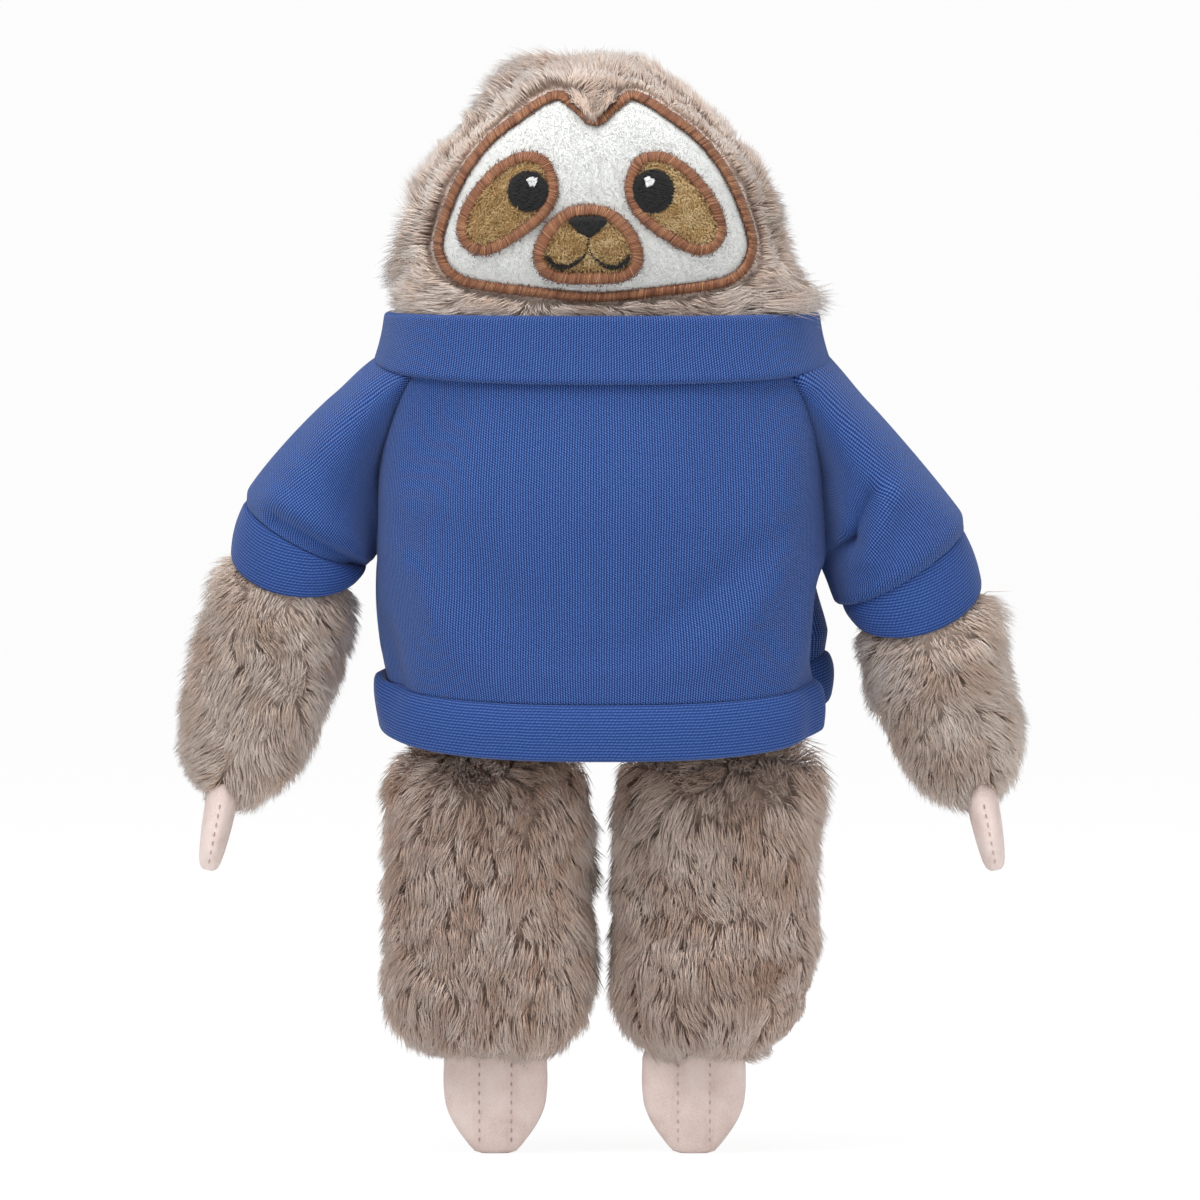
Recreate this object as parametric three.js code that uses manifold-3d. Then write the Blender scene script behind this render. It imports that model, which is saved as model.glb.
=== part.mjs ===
// Plush sloth in a knitted raglan sweater, upright on its two padded feet.
// Millimetres, +Z up. The toy faces -Y, so its own right side lies at -X and its own left at +X.
import * as THREE from "three";
import { mergeVertices } from "three/addons/utils/BufferGeometryUtils.js";
import Module from "manifold-3d";

const wasm = await Module();
wasm.setup();

// Driving dimensions: lengths stacked up from the floor
const footLength = 29.5;
const legLength = 67.5;
const hipToSeat = 25;
const seatToHem = 21;
const hemToShoulder = 64;
const shoulderToCollar = 26;
const collarToNeck = 8;
const headHeight = 86.5;

// Heights above the floor
const legBottomHeight = footLength;
const hipHeight = legBottomHeight + legLength;
const trunkBottomHeight = hipHeight + hipToSeat;
const hemSeamHeight = trunkBottomHeight + seatToHem;
const shoulderHeight = hemSeamHeight + hemToShoulder;
const collarSeamHeight = shoulderHeight + shoulderToCollar;
const neckHeight = collarSeamHeight + collarToNeck;
const crownHeight = neckHeight + headHeight;

// Driving dimensions: half widths along X and half depths along Y
const headHalfWidth = 60.8;
const headHalfDepth = 45.5;
const torsoHalfWidth = 68.5;
const torsoHalfDepth = 48;
const legHalfWidth = 31;
const legHalfDepth = 27;
const armHalfWidth = 21;
const armHalfDepth = 21;

// Cloth, fur and clearances
const gap = 0.3;
const slack = 0.5;
const knitThickness = 2;
const ribThickness = 3.6;
const headFur = 10;
const bodyFur = 6;
const overrun = 30;

// Head and face
const headOffset = -2;
const faceHalfWidth = 48.4;
const chinRise = 15;
const browDrop = 8.2;
const faceBottomHeight = neckHeight + chinRise;
const faceHeight = crownHeight - browDrop - faceBottomHeight;
const faceRecess = 7;
const patchThickness = 1.8;
const appliqueThickness = 1.5;
const stitchRise = 0.8;
const faceBorderWidth = 3;
const eyeBorderWidth = 3.5;
const muzzleBorderWidth = 4;
const eyeRadius = 6.2;
const eyeThickness = 1;
const eyeShift = -0.8;
const glintRadius = 1.5;
const glintThickness = 0.6;
const glintInward = 1.1;
const glintRise = 3.1;
const muzzleHalfWidth = 16.5;
const muzzleHalfHeight = 12;
const muzzleRise = 17.2;
const muzzleHeight = faceBottomHeight + muzzleRise;
const muzzleShift = -1.3;
const muzzlePuff = 0.6;
const noseThickness = 1.4;
const mouthThickness = 1;
const mouthThinWidth = 1.1;
const mouthThickWidth = 2.7;

// Sweater bands
const collarBand = 19.5;
const collarOverhang = 2.5;
const collarDrawIn = 5.3;
const collarDepthDrawIn = 2;
const collarSeamHalfWidth = torsoHalfWidth + collarOverhang;
const collarSeamHalfDepth = torsoHalfDepth - collarOverhang;
const collarTopHalfWidth = collarSeamHalfWidth - collarDrawIn;
const collarTopHalfDepth = collarSeamHalfDepth - collarDepthDrawIn;
const collarTiltAngle = 3;
const hemBand = 17;
const hemProud = 1.6;
const hemTiltAngle = 6;
const bandRoll = 1.4;
const bandBulge = 0.7;
const foldDepth = 4.5;

// Arms: places are given from the shoulder, outwards and downwards
const shoulderReach = 62;
const armReach = 52;
const armDrop = 98;
const sleevedHalfWidth = 15.5;
const sleevedHalfDepth = 17;
const furSpread = 14;
const sleeveHalfWidth = 27;
const sleeveHalfDepth = 29;
const sleeveRootReach = 9;
const sleeveRootRise = 8.5;
const sleeveInset = 22;
const sleeveRootTurnAngle = 58;
const armLoweredAngle = 2;
const armRaisedAngle = 65;

// Cuffs: the right one is pushed up higher on its arm than the left one
const rightSeamReach = 27.2;
const rightSeamDrop = 20.3;
const rightSeamHalfWidth = 20;
const rightSeamTurnAngle = 27;
const rightEdgeReach = 29.8;
const rightEdgeDrop = 29.6;
const rightEdgeHalfWidth = 19.7;
const rightEdgeTurnAngle = 5.5;
const leftSeamReach = 27.7;
const leftSeamDrop = 29.2;
const leftSeamHalfWidth = 20.8;
const leftSeamTurnAngle = 31;
const leftEdgeReach = 32.7;
const leftEdgeDrop = 41.2;
const leftEdgeHalfWidth = 19.9;
const leftEdgeTurnAngle = 12;
const cuffHalfDepth = 22.5;
const cuffSeamTiltAngle = 12;
const cuffEdgeTiltAngle = 27;
const arms = [
  {
    name: "right",
    sign: -1,
    seam: [rightSeamReach, rightSeamDrop, rightSeamHalfWidth, rightSeamTurnAngle],
    edge: [rightEdgeReach, rightEdgeDrop, rightEdgeHalfWidth, rightEdgeTurnAngle],
  },
  {
    name: "left",
    sign: 1,
    seam: [leftSeamReach, leftSeamDrop, leftSeamHalfWidth, leftSeamTurnAngle],
    edge: [leftEdgeReach, leftEdgeDrop, leftEdgeHalfWidth, leftEdgeTurnAngle],
  },
];

// Padded claws on the arms and padded feet
const clawLength = 22;
const clawRootDrop = 2.2;
const clawHalfWidth = 13;
const clawHalfThickness = 4.8;
const clawLeanAngle = 11;
const footHalfWidth = 15.5;
const footHalfThickness = 5;
const footRootDrop = 0.8;
const footTipFlat = 0.5;
const stitchDepth = 1.1;
const legSpread = 34;
const rightFootSpread = 32;
const leftFootSpread = 27.6;
const legs = [
  { name: "right", centre: -legSpread, footCentre: -rightFootSpread },
  { name: "left", centre: legSpread, footCentre: leftFootSpread },
];

// How finely the round forms are divided
const headSegments = 24;
const torsoSegments = 28;
const limbSegments = 18;
const stuffingSegments = 12;
const padSegments = 20;
const socketSteps = 16;
const sweepSteps = 12;
const eyeSteps = 24;
const glintSteps = 12;
const outlineSteps = 2;
const mouthSteps = 3;

// How each claw is turned about its length, edge on to the front
const clawTurnAngle = 90;

// Materials
function cloth(color, roughness) {
  return new THREE.MeshStandardMaterial({ color, roughness, metalness: 0 });
}

const headFurCloth = cloth(0xaf9e93, 0.95);
const legFurCloth = cloth(0x8c786c, 0.95);
const stuffingFibre = cloth(0xf2f0ea, 1);
const whiteMinky = cloth(0xf1f0ee, 0.9);
const tanMinky = cloth(0x8f7340, 0.9);
const brownThread = cloth(0xa5643f, 0.55);
const blackThread = cloth(0x18161a, 0.5);
const whiteThread = cloth(0xf4f4f2, 0.5);
const pinkVelour = cloth(0xebdad4, 0.9);
const blueKnit = cloth(0x3a60a8, 0.85);

// Vectors, angles and tables
const fullTurn = Math.PI * 2;
const degree = Math.PI / 180;

// A station is one oval cross-section: its centre, the way its width runs and the way its depth runs.
function station(x, z, halfWidth, halfDepth, turn = 0, tilt = 0, power = 2) {
  return {
    centre: new THREE.Vector3(x, 0, z),
    across: new THREE.Vector3(Math.cos(turn * degree), 0, Math.sin(turn * degree)),
    back: new THREE.Vector3(0, Math.cos(tilt * degree), Math.sin(tilt * degree)),
    halfWidth,
    halfDepth,
    power,
  };
}

function bend(value, power) {
  return Math.sign(value) * Math.abs(value) ** (2 / power);
}

function ringOf(place, segments, inset = () => 0) {
  return Array.from({ length: segments }, (_, index) => {
    const angle = (index / segments) * fullTurn;
    const pulled = inset(angle);
    return place.centre
      .clone()
      .addScaledVector(place.across, (place.halfWidth - pulled) * bend(Math.cos(angle), place.power))
      .addScaledVector(place.back, (place.halfDepth - pulled) * bend(Math.sin(angle), place.power));
  });
}

// Solids
function solidOf(points, triangles) {
  let volume = 0;
  for (const [a, b, c] of triangles) {
    volume += points[a].dot(points[b].clone().cross(points[c]));
  }
  const outward = volume > 0 ? triangles : triangles.map(([a, b, c]) => [a, c, b]);
  const vertProperties = new Float32Array(points.flatMap((point) => point.toArray()));
  const triVerts = new Uint32Array(outward.flat());
  return new wasm.Manifold(new wasm.Mesh({ numProp: 3, vertProperties, triVerts }));
}

function sideWalls(rings, pairs) {
  const size = rings[0].length;
  const walls = [];
  for (const [low, high] of pairs) {
    for (let index = 0; index < size; index += 1) {
      const next = (index + 1) % size;
      walls.push([low * size + index, low * size + next, high * size + next]);
      walls.push([low * size + index, high * size + next, high * size + index]);
    }
  }
  return walls;
}

// A closed body through a row of rings, with a flat or pointed fan over each end.
function loft(rings) {
  const size = rings[0].length;
  const points = rings.flat();
  const triangles = sideWalls(rings, rings.slice(1).map((_, index) => [index, index + 1]));
  for (const [ring, flipped] of [[0, true], [rings.length - 1, false]]) {
    const middle = new THREE.Vector3();
    rings[ring].forEach((point) => middle.addScaledVector(point, 1 / size));
    points.push(middle);
    for (let index = 0; index < size; index += 1) {
      const fan = [ring * size + index, ring * size + ((index + 1) % size), points.length - 1];
      triangles.push(flipped ? fan.reverse() : fan);
    }
  }
  return solidOf(points, triangles);
}

// A closed band through rings that come back round to the first one.
function bandLoft(rings) {
  const pairs = rings.map((_, index) => [index, (index + 1) % rings.length]);
  return solidOf(rings.flat(), sideWalls(rings, pairs));
}

function solidFromGeometry(geometry) {
  geometry.deleteAttribute("normal");
  geometry.deleteAttribute("uv");
  const merged = mergeVertices(geometry);
  const vertProperties = new Float32Array(merged.attributes.position.array);
  const triVerts = new Uint32Array(merged.index.array);
  return new wasm.Manifold(new wasm.Mesh({ numProp: 3, vertProperties, triVerts }));
}

// A flat outline in X and Z, drawn out along Y between two depths.
function prism(outline, front, back) {
  const shape = new THREE.Shape(outline.map(([x, z]) => new THREE.Vector2(x, z)));
  const geometry = new THREE.ExtrudeGeometry(shape, { depth: back - front, bevelEnabled: false });
  geometry.rotateX(fullTurn / 4);
  geometry.translate(0, back, 0);
  return solidFromGeometry(geometry);
}

function geometryOf(solid) {
  const mesh = solid.getMesh();
  const geometry = new THREE.BufferGeometry();
  geometry.setAttribute("position", new THREE.BufferAttribute(new Float32Array(mesh.vertProperties), 3));
  geometry.setIndex(new THREE.BufferAttribute(new Uint32Array(mesh.triVerts), 1));
  geometry.computeVertexNormals();
  return geometry;
}

const toy = new THREE.Group();

function addPiece(name, solid, material) {
  const piece = new THREE.Mesh(geometryOf(solid), material);
  piece.name = name;
  toy.add(piece);
}

// Sweater torso
// The cloth follows one envelope from hem to collar. Each row: height, half width and half depth.
const torsoShares = [
  [0, 0.97, 0.95],
  [0.14, 0.985, 0.985],
  [0.3, 0.985, 1],
  [0.46, 0.985, 0.985],
  [0.62, 1, 0.96],
  [0.78, 1, 0.94],
  [0.92, 0.965, 0.915],
  [1, 0.93, 0.9],
];
const torsoPower = 2.5;

// Main folds of the cloth: the angle round the body, how far it drifts down the valley and how wide it
// spreads, then how high the valley starts and ends and how deep it is.
const torsoFolds = [
  { angle: -14, drift: -34, spread: 13, lowShare: 0.02, highShare: 0.44, depthShare: 1 },
  { angle: -168, drift: 8, spread: 12, lowShare: -0.05, highShare: 0.28, depthShare: 0.67 },
  { angle: 20, drift: 22, spread: 13, lowShare: 0.02, highShare: 0.42, depthShare: 0.78 },
  { angle: 152, drift: -16, spread: 13, lowShare: 0.05, highShare: 0.4, depthShare: 0.67 },
];

function foldInset(angle, share) {
  return torsoFolds.reduce((total, fold) => {
    const along = (share - fold.lowShare) / (fold.highShare - fold.lowShare);
    const swell = Math.max(0, Math.sin(Math.PI * THREE.MathUtils.clamp(along, 0, 1)));
    const centre = (fold.angle + fold.drift * (1 - along)) * degree;
    const off = Math.atan2(Math.sin(angle - centre), Math.cos(angle - centre)) / (fold.spread * degree);
    return total + foldDepth * fold.depthShare * swell * Math.exp(-off * off);
  }, 0);
}

function torsoRings(inset) {
  return torsoShares.map(([share, wide, deep]) => {
    const height = THREE.MathUtils.lerp(hemSeamHeight, collarSeamHeight, share);
    const tilt = THREE.MathUtils.lerp(hemTiltAngle, collarTiltAngle, share);
    const place = station(0, height, torsoHalfWidth * wide - inset, torsoHalfDepth * deep - inset, 0, tilt,
      torsoPower);
    return ringOf(place, torsoSegments, (angle) => foldInset(angle, share));
  });
}

function movedRing(ring, rise) {
  return ring.map((point) => point.clone().setZ(point.z + rise));
}

// Down the outside of a band: how far along each ring is, then its roll-in and its bulge.
const bandShares = [
  [0, 1, 0],
  [0.08, 0, 0],
  [0.5, 0, 1],
  [0.92, 0, 0],
  [1, 1, 0],
];

// The band rings run down the outside and back up the inside, with rolled edges.
function bandPlaces(top, bottom, spread) {
  return bandShares.map(([share, roll, bulge]) =>
    between(top, bottom, share, spread + bandBulge * bulge - bandRoll * roll));
}

function ribbedBand(top, bottom, segments) {
  const outside = bandPlaces(top, bottom, 0);
  const inside = bandShares
    .filter(([, roll, bulge]) => roll + bulge > 0)
    .reverse()
    .map(([share, roll]) => between(top, bottom, share, bandRoll * roll - ribThickness));
  return bandLoft([...outside, ...inside].map((place) => ringOf(place, segments)));
}

function between(top, bottom, share, proud = 0) {
  const mix = (low, high) => THREE.MathUtils.lerp(low, high, share);
  return {
    centre: top.centre.clone().lerp(bottom.centre, share),
    across: top.across.clone().lerp(bottom.across, share).normalize(),
    back: top.back.clone().lerp(bottom.back, share).normalize(),
    halfWidth: mix(top.halfWidth, bottom.halfWidth) + proud,
    halfDepth: mix(top.halfDepth, bottom.halfDepth) + proud,
    power: mix(top.power, bottom.power),
  };
}

const collarTop = station(0, collarSeamHeight + collarBand, collarTopHalfWidth, collarTopHalfDepth, 0,
  collarTiltAngle, torsoPower);
const collarBottom = station(0, collarSeamHeight + gap, collarSeamHalfWidth, collarSeamHalfDepth, 0,
  collarTiltAngle, torsoPower);

// The space that the collar fills, with its clearance, down to its seam.
const collarPlaces = bandPlaces(collarTop, collarBottom, gap);
const collarLowest = collarPlaces[collarPlaces.length - 1];
const collarOutside = loft([
  ...collarPlaces.map((place) => ringOf(place, torsoSegments)),
  movedRing(ringOf(collarLowest, torsoSegments), -gap),
]);

const [, hemWide, hemDeep] = torsoShares[0];
const hemTop = station(0, hemSeamHeight - gap, torsoHalfWidth * hemWide + hemProud,
  torsoHalfDepth * hemDeep + hemProud, 0, hemTiltAngle, torsoPower);
const hemBottom = station(0, hemSeamHeight - hemBand, torsoHalfWidth * hemWide + hemProud,
  torsoHalfDepth * hemDeep + hemProud, 0, hemTiltAngle, torsoPower);

const torsoInside = torsoRings(knitThickness);
const torsoShell = loft(torsoRings(0)).subtract(
  loft([
    movedRing(torsoInside[0], -overrun),
    ...torsoInside,
    movedRing(torsoInside[torsoInside.length - 1], overrun),
  ]),
);
const torsoOutside = loft(torsoRings(-gap));

// Arms, their sleeves and cuffs
// Each row: outwards and downwards along the arm, then the taper of the hand.
const armPathShares = [
  [0, 0, 1],
  [0.27, 0.107, 1],
  [0.5, 0.235, 1],
  [0.61, 0.36, 1],
  [0.655, 0.465, 1],
  [0.7, 0.57, 1],
  [0.75, 0.66, 1],
  [0.81, 0.745, 0.97],
  [0.9, 0.87, 0.89],
  [0.96, 0.955, 0.64],
  [1, 1, 0.27],
];

// Each row: along the sleeve from the shoulder to the cuff, then turn, width and depth.
const sleeveShares = [
  [0, 0, 0.93, 1],
  [0.34, 0, 1.08, 1],
  [0.7, 0.35, 0.95, 0.92],
  [0.9, 0.8, 0.82, 0.84],
  [1, 1, 0, 0],
];
// The ball of the shoulder, as angles from its widest ring.
const shoulderRoundAngles = [70, 45, 20];

function armStation(arm, share, inset) {
  const [reach, drop, taper] = share;
  const [, edgeDrop] = arm.edge;
  const spread = THREE.MathUtils.smoothstep(armDrop * drop - edgeDrop, 0, furSpread);
  const next = armPathShares[Math.min(armPathShares.indexOf(share) + 1, armPathShares.length - 1)];
  const last = armPathShares[Math.max(armPathShares.indexOf(share) - 1, 0)];
  const run = new THREE.Vector2((next[0] - last[0]) * armReach, (next[1] - last[1]) * armDrop);
  const turn = arm.sign * (90 - Math.atan2(run.y, run.x) / degree);
  const wide = THREE.MathUtils.lerp(sleevedHalfWidth, armHalfWidth, spread) * taper;
  const deep = THREE.MathUtils.lerp(sleevedHalfDepth, armHalfDepth, spread) * taper;
  return station(
    arm.sign * (shoulderReach + armReach * reach),
    shoulderHeight - armDrop * drop,
    Math.max(wide - inset, gap),
    Math.max(deep - inset, gap),
    turn,
  );
}

// The shoulder is a ball round the hinge, so that the arm can swing in its socket.
function shoulderStations(arm, inset) {
  const first = armStation(arm, armPathShares[0], inset);
  const inward = new THREE.Vector3(first.across.z, 0, -first.across.x).multiplyScalar(arm.sign);
  inward.multiplyScalar(Math.sign(inward.x) === arm.sign ? -1 : 1);
  const radius = sleevedHalfWidth - inset;
  return shoulderRoundAngles.map((angle) => ({
    ...first,
    centre: first.centre.clone().addScaledVector(inward, radius * Math.sin(angle * degree)),
    halfWidth: radius * Math.cos(angle * degree),
    halfDepth: (sleevedHalfDepth - inset) * Math.cos(angle * degree),
  }));
}

function armSolid(arm, inset, segments) {
  const along = armPathShares.filter(([, drop]) => inset === 0 || armDrop * (1 - drop) > inset);
  const places = [...shoulderStations(arm, inset), ...along.map((share) => armStation(arm, share, inset))];
  return loft(places.map((place) => ringOf(place, segments)));
}

// What the trunk leaves free for the arm's swing: the ball and the wedge that the upper arm sweeps.
function armSweep(arm, clearance) {
  const radius = sleevedHalfWidth + clearance;
  const [reach, drop] = armPathShares[1];
  const rest = -Math.atan2(armDrop * drop, armReach * reach) / degree;
  const low = (rest - armLoweredAngle) * degree;
  const high = (rest + armRaisedAngle) * degree;
  const from = high + fullTurn / 4;
  const to = low - fullTurn / 4 + fullTurn;
  const outline = [];
  for (let index = 0; index <= sweepSteps; index += 1) {
    const angle = THREE.MathUtils.lerp(from, to, index / sweepSteps);
    outline.push([radius * Math.cos(angle), radius * Math.sin(angle)]);
  }
  const far = overrun + sleevedHalfWidth;
  const [first, last] = [outline[0], outline[outline.length - 1]];
  outline.push([last[0] + far * Math.cos(low), last[1] + far * Math.sin(low)]);
  outline.push([first[0] + far * Math.cos(high), first[1] + far * Math.sin(high)]);
  const placed = outline.map(([x, z]) => [arm.sign * (shoulderReach + x), shoulderHeight + z]);
  const deep = sleevedHalfDepth + clearance;
  return prism(arm.sign < 0 ? placed.reverse() : placed, -deep, deep);
}

function cuffStations(arm) {
  const place = ([reach, drop, halfWidth, turn], tilt) =>
    station(arm.sign * (shoulderReach + reach), shoulderHeight - drop, halfWidth, cuffHalfDepth,
      arm.sign * turn, tilt);
  return [place(arm.seam, cuffSeamTiltAngle), place(arm.edge, cuffEdgeTiltAngle)];
}

function sleeveStations(arm, inset) {
  const [seam] = cuffStations(arm);
  const [, , , seamTurn] = arm.seam;
  const root = [shoulderReach - sleeveRootReach, shoulderHeight + sleeveRootRise];
  const end = [Math.abs(seam.centre.x), seam.centre.z];
  return sleeveShares.map(([along, turned, wide, deep]) => {
    const last = along === 1;
    return station(
      arm.sign * THREE.MathUtils.lerp(root[0], end[0], along),
      THREE.MathUtils.lerp(root[1], end[1], along) + (last ? gap : 0),
      (last ? seam.halfWidth : sleeveHalfWidth * wide) - inset,
      (last ? seam.halfDepth : sleeveHalfDepth * deep) - inset,
      arm.sign * THREE.MathUtils.lerp(sleeveRootTurnAngle, seamTurn, turned),
      THREE.MathUtils.lerp(0, cuffSeamTiltAngle, turned),
    );
  });
}

function sleeveLoft(arm, inset, extended) {
  const places = sleeveStations(arm, inset);
  const rings = places.map((place) => ringOf(place, limbSegments));
  if (!extended) {
    return loft(rings);
  }
  const [first, last] = [places[0], places[places.length - 1]];
  const inner = ringOf({
    ...first,
    centre: first.centre.clone().setX(first.centre.x - arm.sign * sleeveInset),
  }, limbSegments);
  const outer = ringOf({
    ...last,
    centre: last.centre.clone().add(new THREE.Vector3(arm.sign * last.across.z, 0, -Math.abs(last.across.x))
      .multiplyScalar(sleeveInset)),
  }, limbSegments);
  return loft([inner, ...rings, outer]);
}

function addArm(arm) {
  const [seam, edge] = cuffStations(arm);
  const outside = armSolid(arm, 0, limbSegments);
  const hollow = armSolid(arm, bodyFur, stuffingSegments);
  const mouth = shoulderMouth(arm);
  const socket = clawSocket(arm);
  addPiece(`${arm.name}_arm_skin`, outside.subtract(hollow).subtract(mouth).subtract(socket), headFurCloth);
  addPiece(`${arm.name}_arm_stuffing`, armSolid(arm, bodyFur + gap, stuffingSegments).subtract(socket),
    stuffingFibre);
  addPiece(`${arm.name}_claw_pad`, clawPad(arm), pinkVelour);
  addPiece(`${arm.name}_cuff`, ribbedBand(seam, edge, limbSegments)
    .subtract(armSolid(arm, -gap, limbSegments)), blueKnit);
  const sleeve = sleeveLoft(arm, 0, false)
    .subtract(sleeveLoft(arm, knitThickness, true))
    .subtract(armSolid(arm, -gap, limbSegments))
    .subtract(torsoOutside)
    .subtract(collarOutside);
  addPiece(`${arm.name}_sleeve`, sleeve, blueKnit);
}

// The arm's open top, where its stuffing goes in before it is sewn to the trunk.
function shoulderMouth(arm) {
  const first = armStation(arm, armPathShares[0], 0);
  const half = sleevedHalfWidth - bodyFur;
  const inward = new THREE.Vector3(-arm.sign, 0, 0);
  const places = [bodyFur, sleevedHalfWidth + overrun].map((distance) => ({
    ...station(0, 0, half / 2, half / 2, 90),
    centre: first.centre.clone().addScaledVector(inward, distance),
  }));
  return loft(places.map((place) => ringOf(place, stuffingSegments)));
}

// Padded claws and feet
// Each row: down the pad from its root, then its half width and half thickness.
const padShares = [
  [0, 1, 1],
  [0.35, 1, 1],
  [0.6, 0.97, 0.9],
  [0.78, 0.87, 0.8],
  [0.9, 0.68, 0.66],
  [0.97, 0.45, 0.5],
  [1, 0.3, 0.38],
];
const stitchShares = [-0.31, 0.31];
const stitchWidthShare = 0.13;
const padPower = 3;
const padRootAngles = [65, 35];

// The pad's root is a half round about its seam, its faces dip along two stitched lines.
function padRings(length, halfWidth, halfThickness) {
  const rings = padRootAngles.map((angle) => [
    -halfThickness * Math.sin(angle * degree), halfWidth, halfThickness * Math.cos(angle * degree),
  ]);
  padShares.forEach(([down, wide, thick]) =>
    rings.push([length * down, halfWidth * wide, halfThickness * thick]));
  return rings.map(([down, wide, thick]) =>
    Array.from({ length: padSegments }, (_, index) => {
      const angle = (index / padSegments) * fullTurn;
      const x = wide * bend(Math.cos(angle), padPower);
      const dip = stitchShares.reduce((sum, share) => {
        const off = (x / halfWidth - share) / stitchWidthShare;
        return sum + Math.exp(-off * off);
      }, 0);
      const y = (thick - Math.min(stitchDepth * dip, thick / 2)) * bend(Math.sin(angle), padPower);
      return new THREE.Vector3(x, y, -down);
    }));
}

function placedRings(rings, centre, turn, lean) {
  const placing = new THREE.Matrix4()
    .makeTranslation(centre.x, centre.y, centre.z)
    .multiply(new THREE.Matrix4().makeRotationY(lean * degree))
    .multiply(new THREE.Matrix4().makeRotationZ(turn * degree));
  return rings.map((ring) => ring.map((point) => point.clone().applyMatrix4(placing)));
}

function clawRoot(arm) {
  return new THREE.Vector3(
    arm.sign * (shoulderReach + armReach),
    0,
    shoulderHeight - armDrop - clawRootDrop,
  );
}

function clawPad(arm) {
  const rings = padRings(clawLength, clawHalfWidth, clawHalfThickness);
  return loft(placedRings(rings, clawRoot(arm), clawTurnAngle, -arm.sign * clawLeanAngle));
}

// The round groove that a pad's root or a hip turns in, with its flats clear of the round.
function socketSolid(halfWidth, halfThickness, centre, turn, lean) {
  const radius = (halfThickness + gap) / Math.cos(Math.PI / socketSteps);
  const ends = [-halfWidth - gap, halfWidth + gap];
  const rings = ends.map((x) => Array.from({ length: socketSteps }, (_, index) => {
    const angle = (index / socketSteps) * fullTurn;
    return new THREE.Vector3(x, radius * Math.cos(angle), radius * Math.sin(angle));
  }));
  return loft(placedRings(rings, centre, turn, lean));
}

function clawSocket(arm) {
  return socketSolid(clawHalfWidth, clawHalfThickness, clawRoot(arm), clawTurnAngle,
    -arm.sign * clawLeanAngle);
}

// Legs
// Each row: height from the fur's lower edge to the hip, then half width and half depth.
const legShares = [
  [0, 0.62, 0.6],
  [0.03, 0.78, 0.76],
  [0.1, 0.92, 0.9],
  [0.24, 1, 0.98],
  [0.5, 1, 1],
  [0.75, 0.99, 1],
  [1, 0.98, 1],
];
const legPower = 2.4;
const hipRoundAngles = [25, 45, 62, 76];
const hipTopShare = 0.8;
const hipMouthShare = 0.33;

// Above the hip the leg is round about the hinge, so that it can swing under the trunk.
function legSolid(leg, inset, segments) {
  const places = legShares.map(([share, wide, deep]) => station(
    leg.centre,
    THREE.MathUtils.lerp(legBottomHeight + inset, hipHeight, share),
    legHalfWidth * wide - inset,
    legHalfDepth * deep - inset,
    0, 0, legPower,
  ));
  const radius = legHalfDepth - inset;
  const [, topWide] = legShares[legShares.length - 1];
  for (const angle of hipRoundAngles) {
    places.push(station(
      leg.centre,
      hipHeight + radius * Math.sin(angle * degree),
      (legHalfWidth * topWide - inset) * THREE.MathUtils.lerp(hipTopShare, 1, Math.cos(angle * degree)),
      radius * Math.cos(angle * degree),
      0, 0, legPower,
    ));
  }
  return loft(places.map((place) => ringOf(place, segments)));
}

// The leg's open top, where its stuffing goes in before it is sewn to the trunk.
function hipMouth(leg) {
  const half = legHalfDepth * hipMouthShare;
  return loft([hipHeight + half, hipHeight + overrun + half].map((height) =>
    ringOf(station(leg.centre, height, half, half / 2), stuffingSegments)));
}

function footRoot(leg) {
  return new THREE.Vector3(leg.footCentre, 0, legBottomHeight - footRootDrop);
}

function footPad(leg) {
  const root = footRoot(leg);
  const rings = padRings(root.z + footTipFlat, footHalfWidth, footHalfThickness);
  const floor = prism([
    [leg.footCentre - overrun, -overrun],
    [leg.footCentre + overrun, -overrun],
    [leg.footCentre + overrun, 0],
    [leg.footCentre - overrun, 0],
  ], -overrun, overrun);
  return loft(placedRings(rings, root, 0, 0)).subtract(floor);
}

function addLeg(leg) {
  const socket = socketSolid(footHalfWidth, footHalfThickness, footRoot(leg), 0, 0);
  const skin = legSolid(leg, 0, limbSegments)
    .subtract(legSolid(leg, bodyFur, stuffingSegments))
    .subtract(hipMouth(leg))
    .subtract(socket);
  addPiece(`${leg.name}_leg_skin`, skin, legFurCloth);
  addPiece(`${leg.name}_leg_stuffing`, legSolid(leg, bodyFur + gap, stuffingSegments).subtract(socket),
    stuffingFibre);
  addPiece(`${leg.name}_foot_pad`, footPad(leg), pinkVelour);
}

// Trunk
// Below the hem the trunk closes to a seat that the hips fit under.
const seatShares = [
  [0, 0.84, 0.8],
  [0.25, 0.95, 0.93],
];

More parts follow.
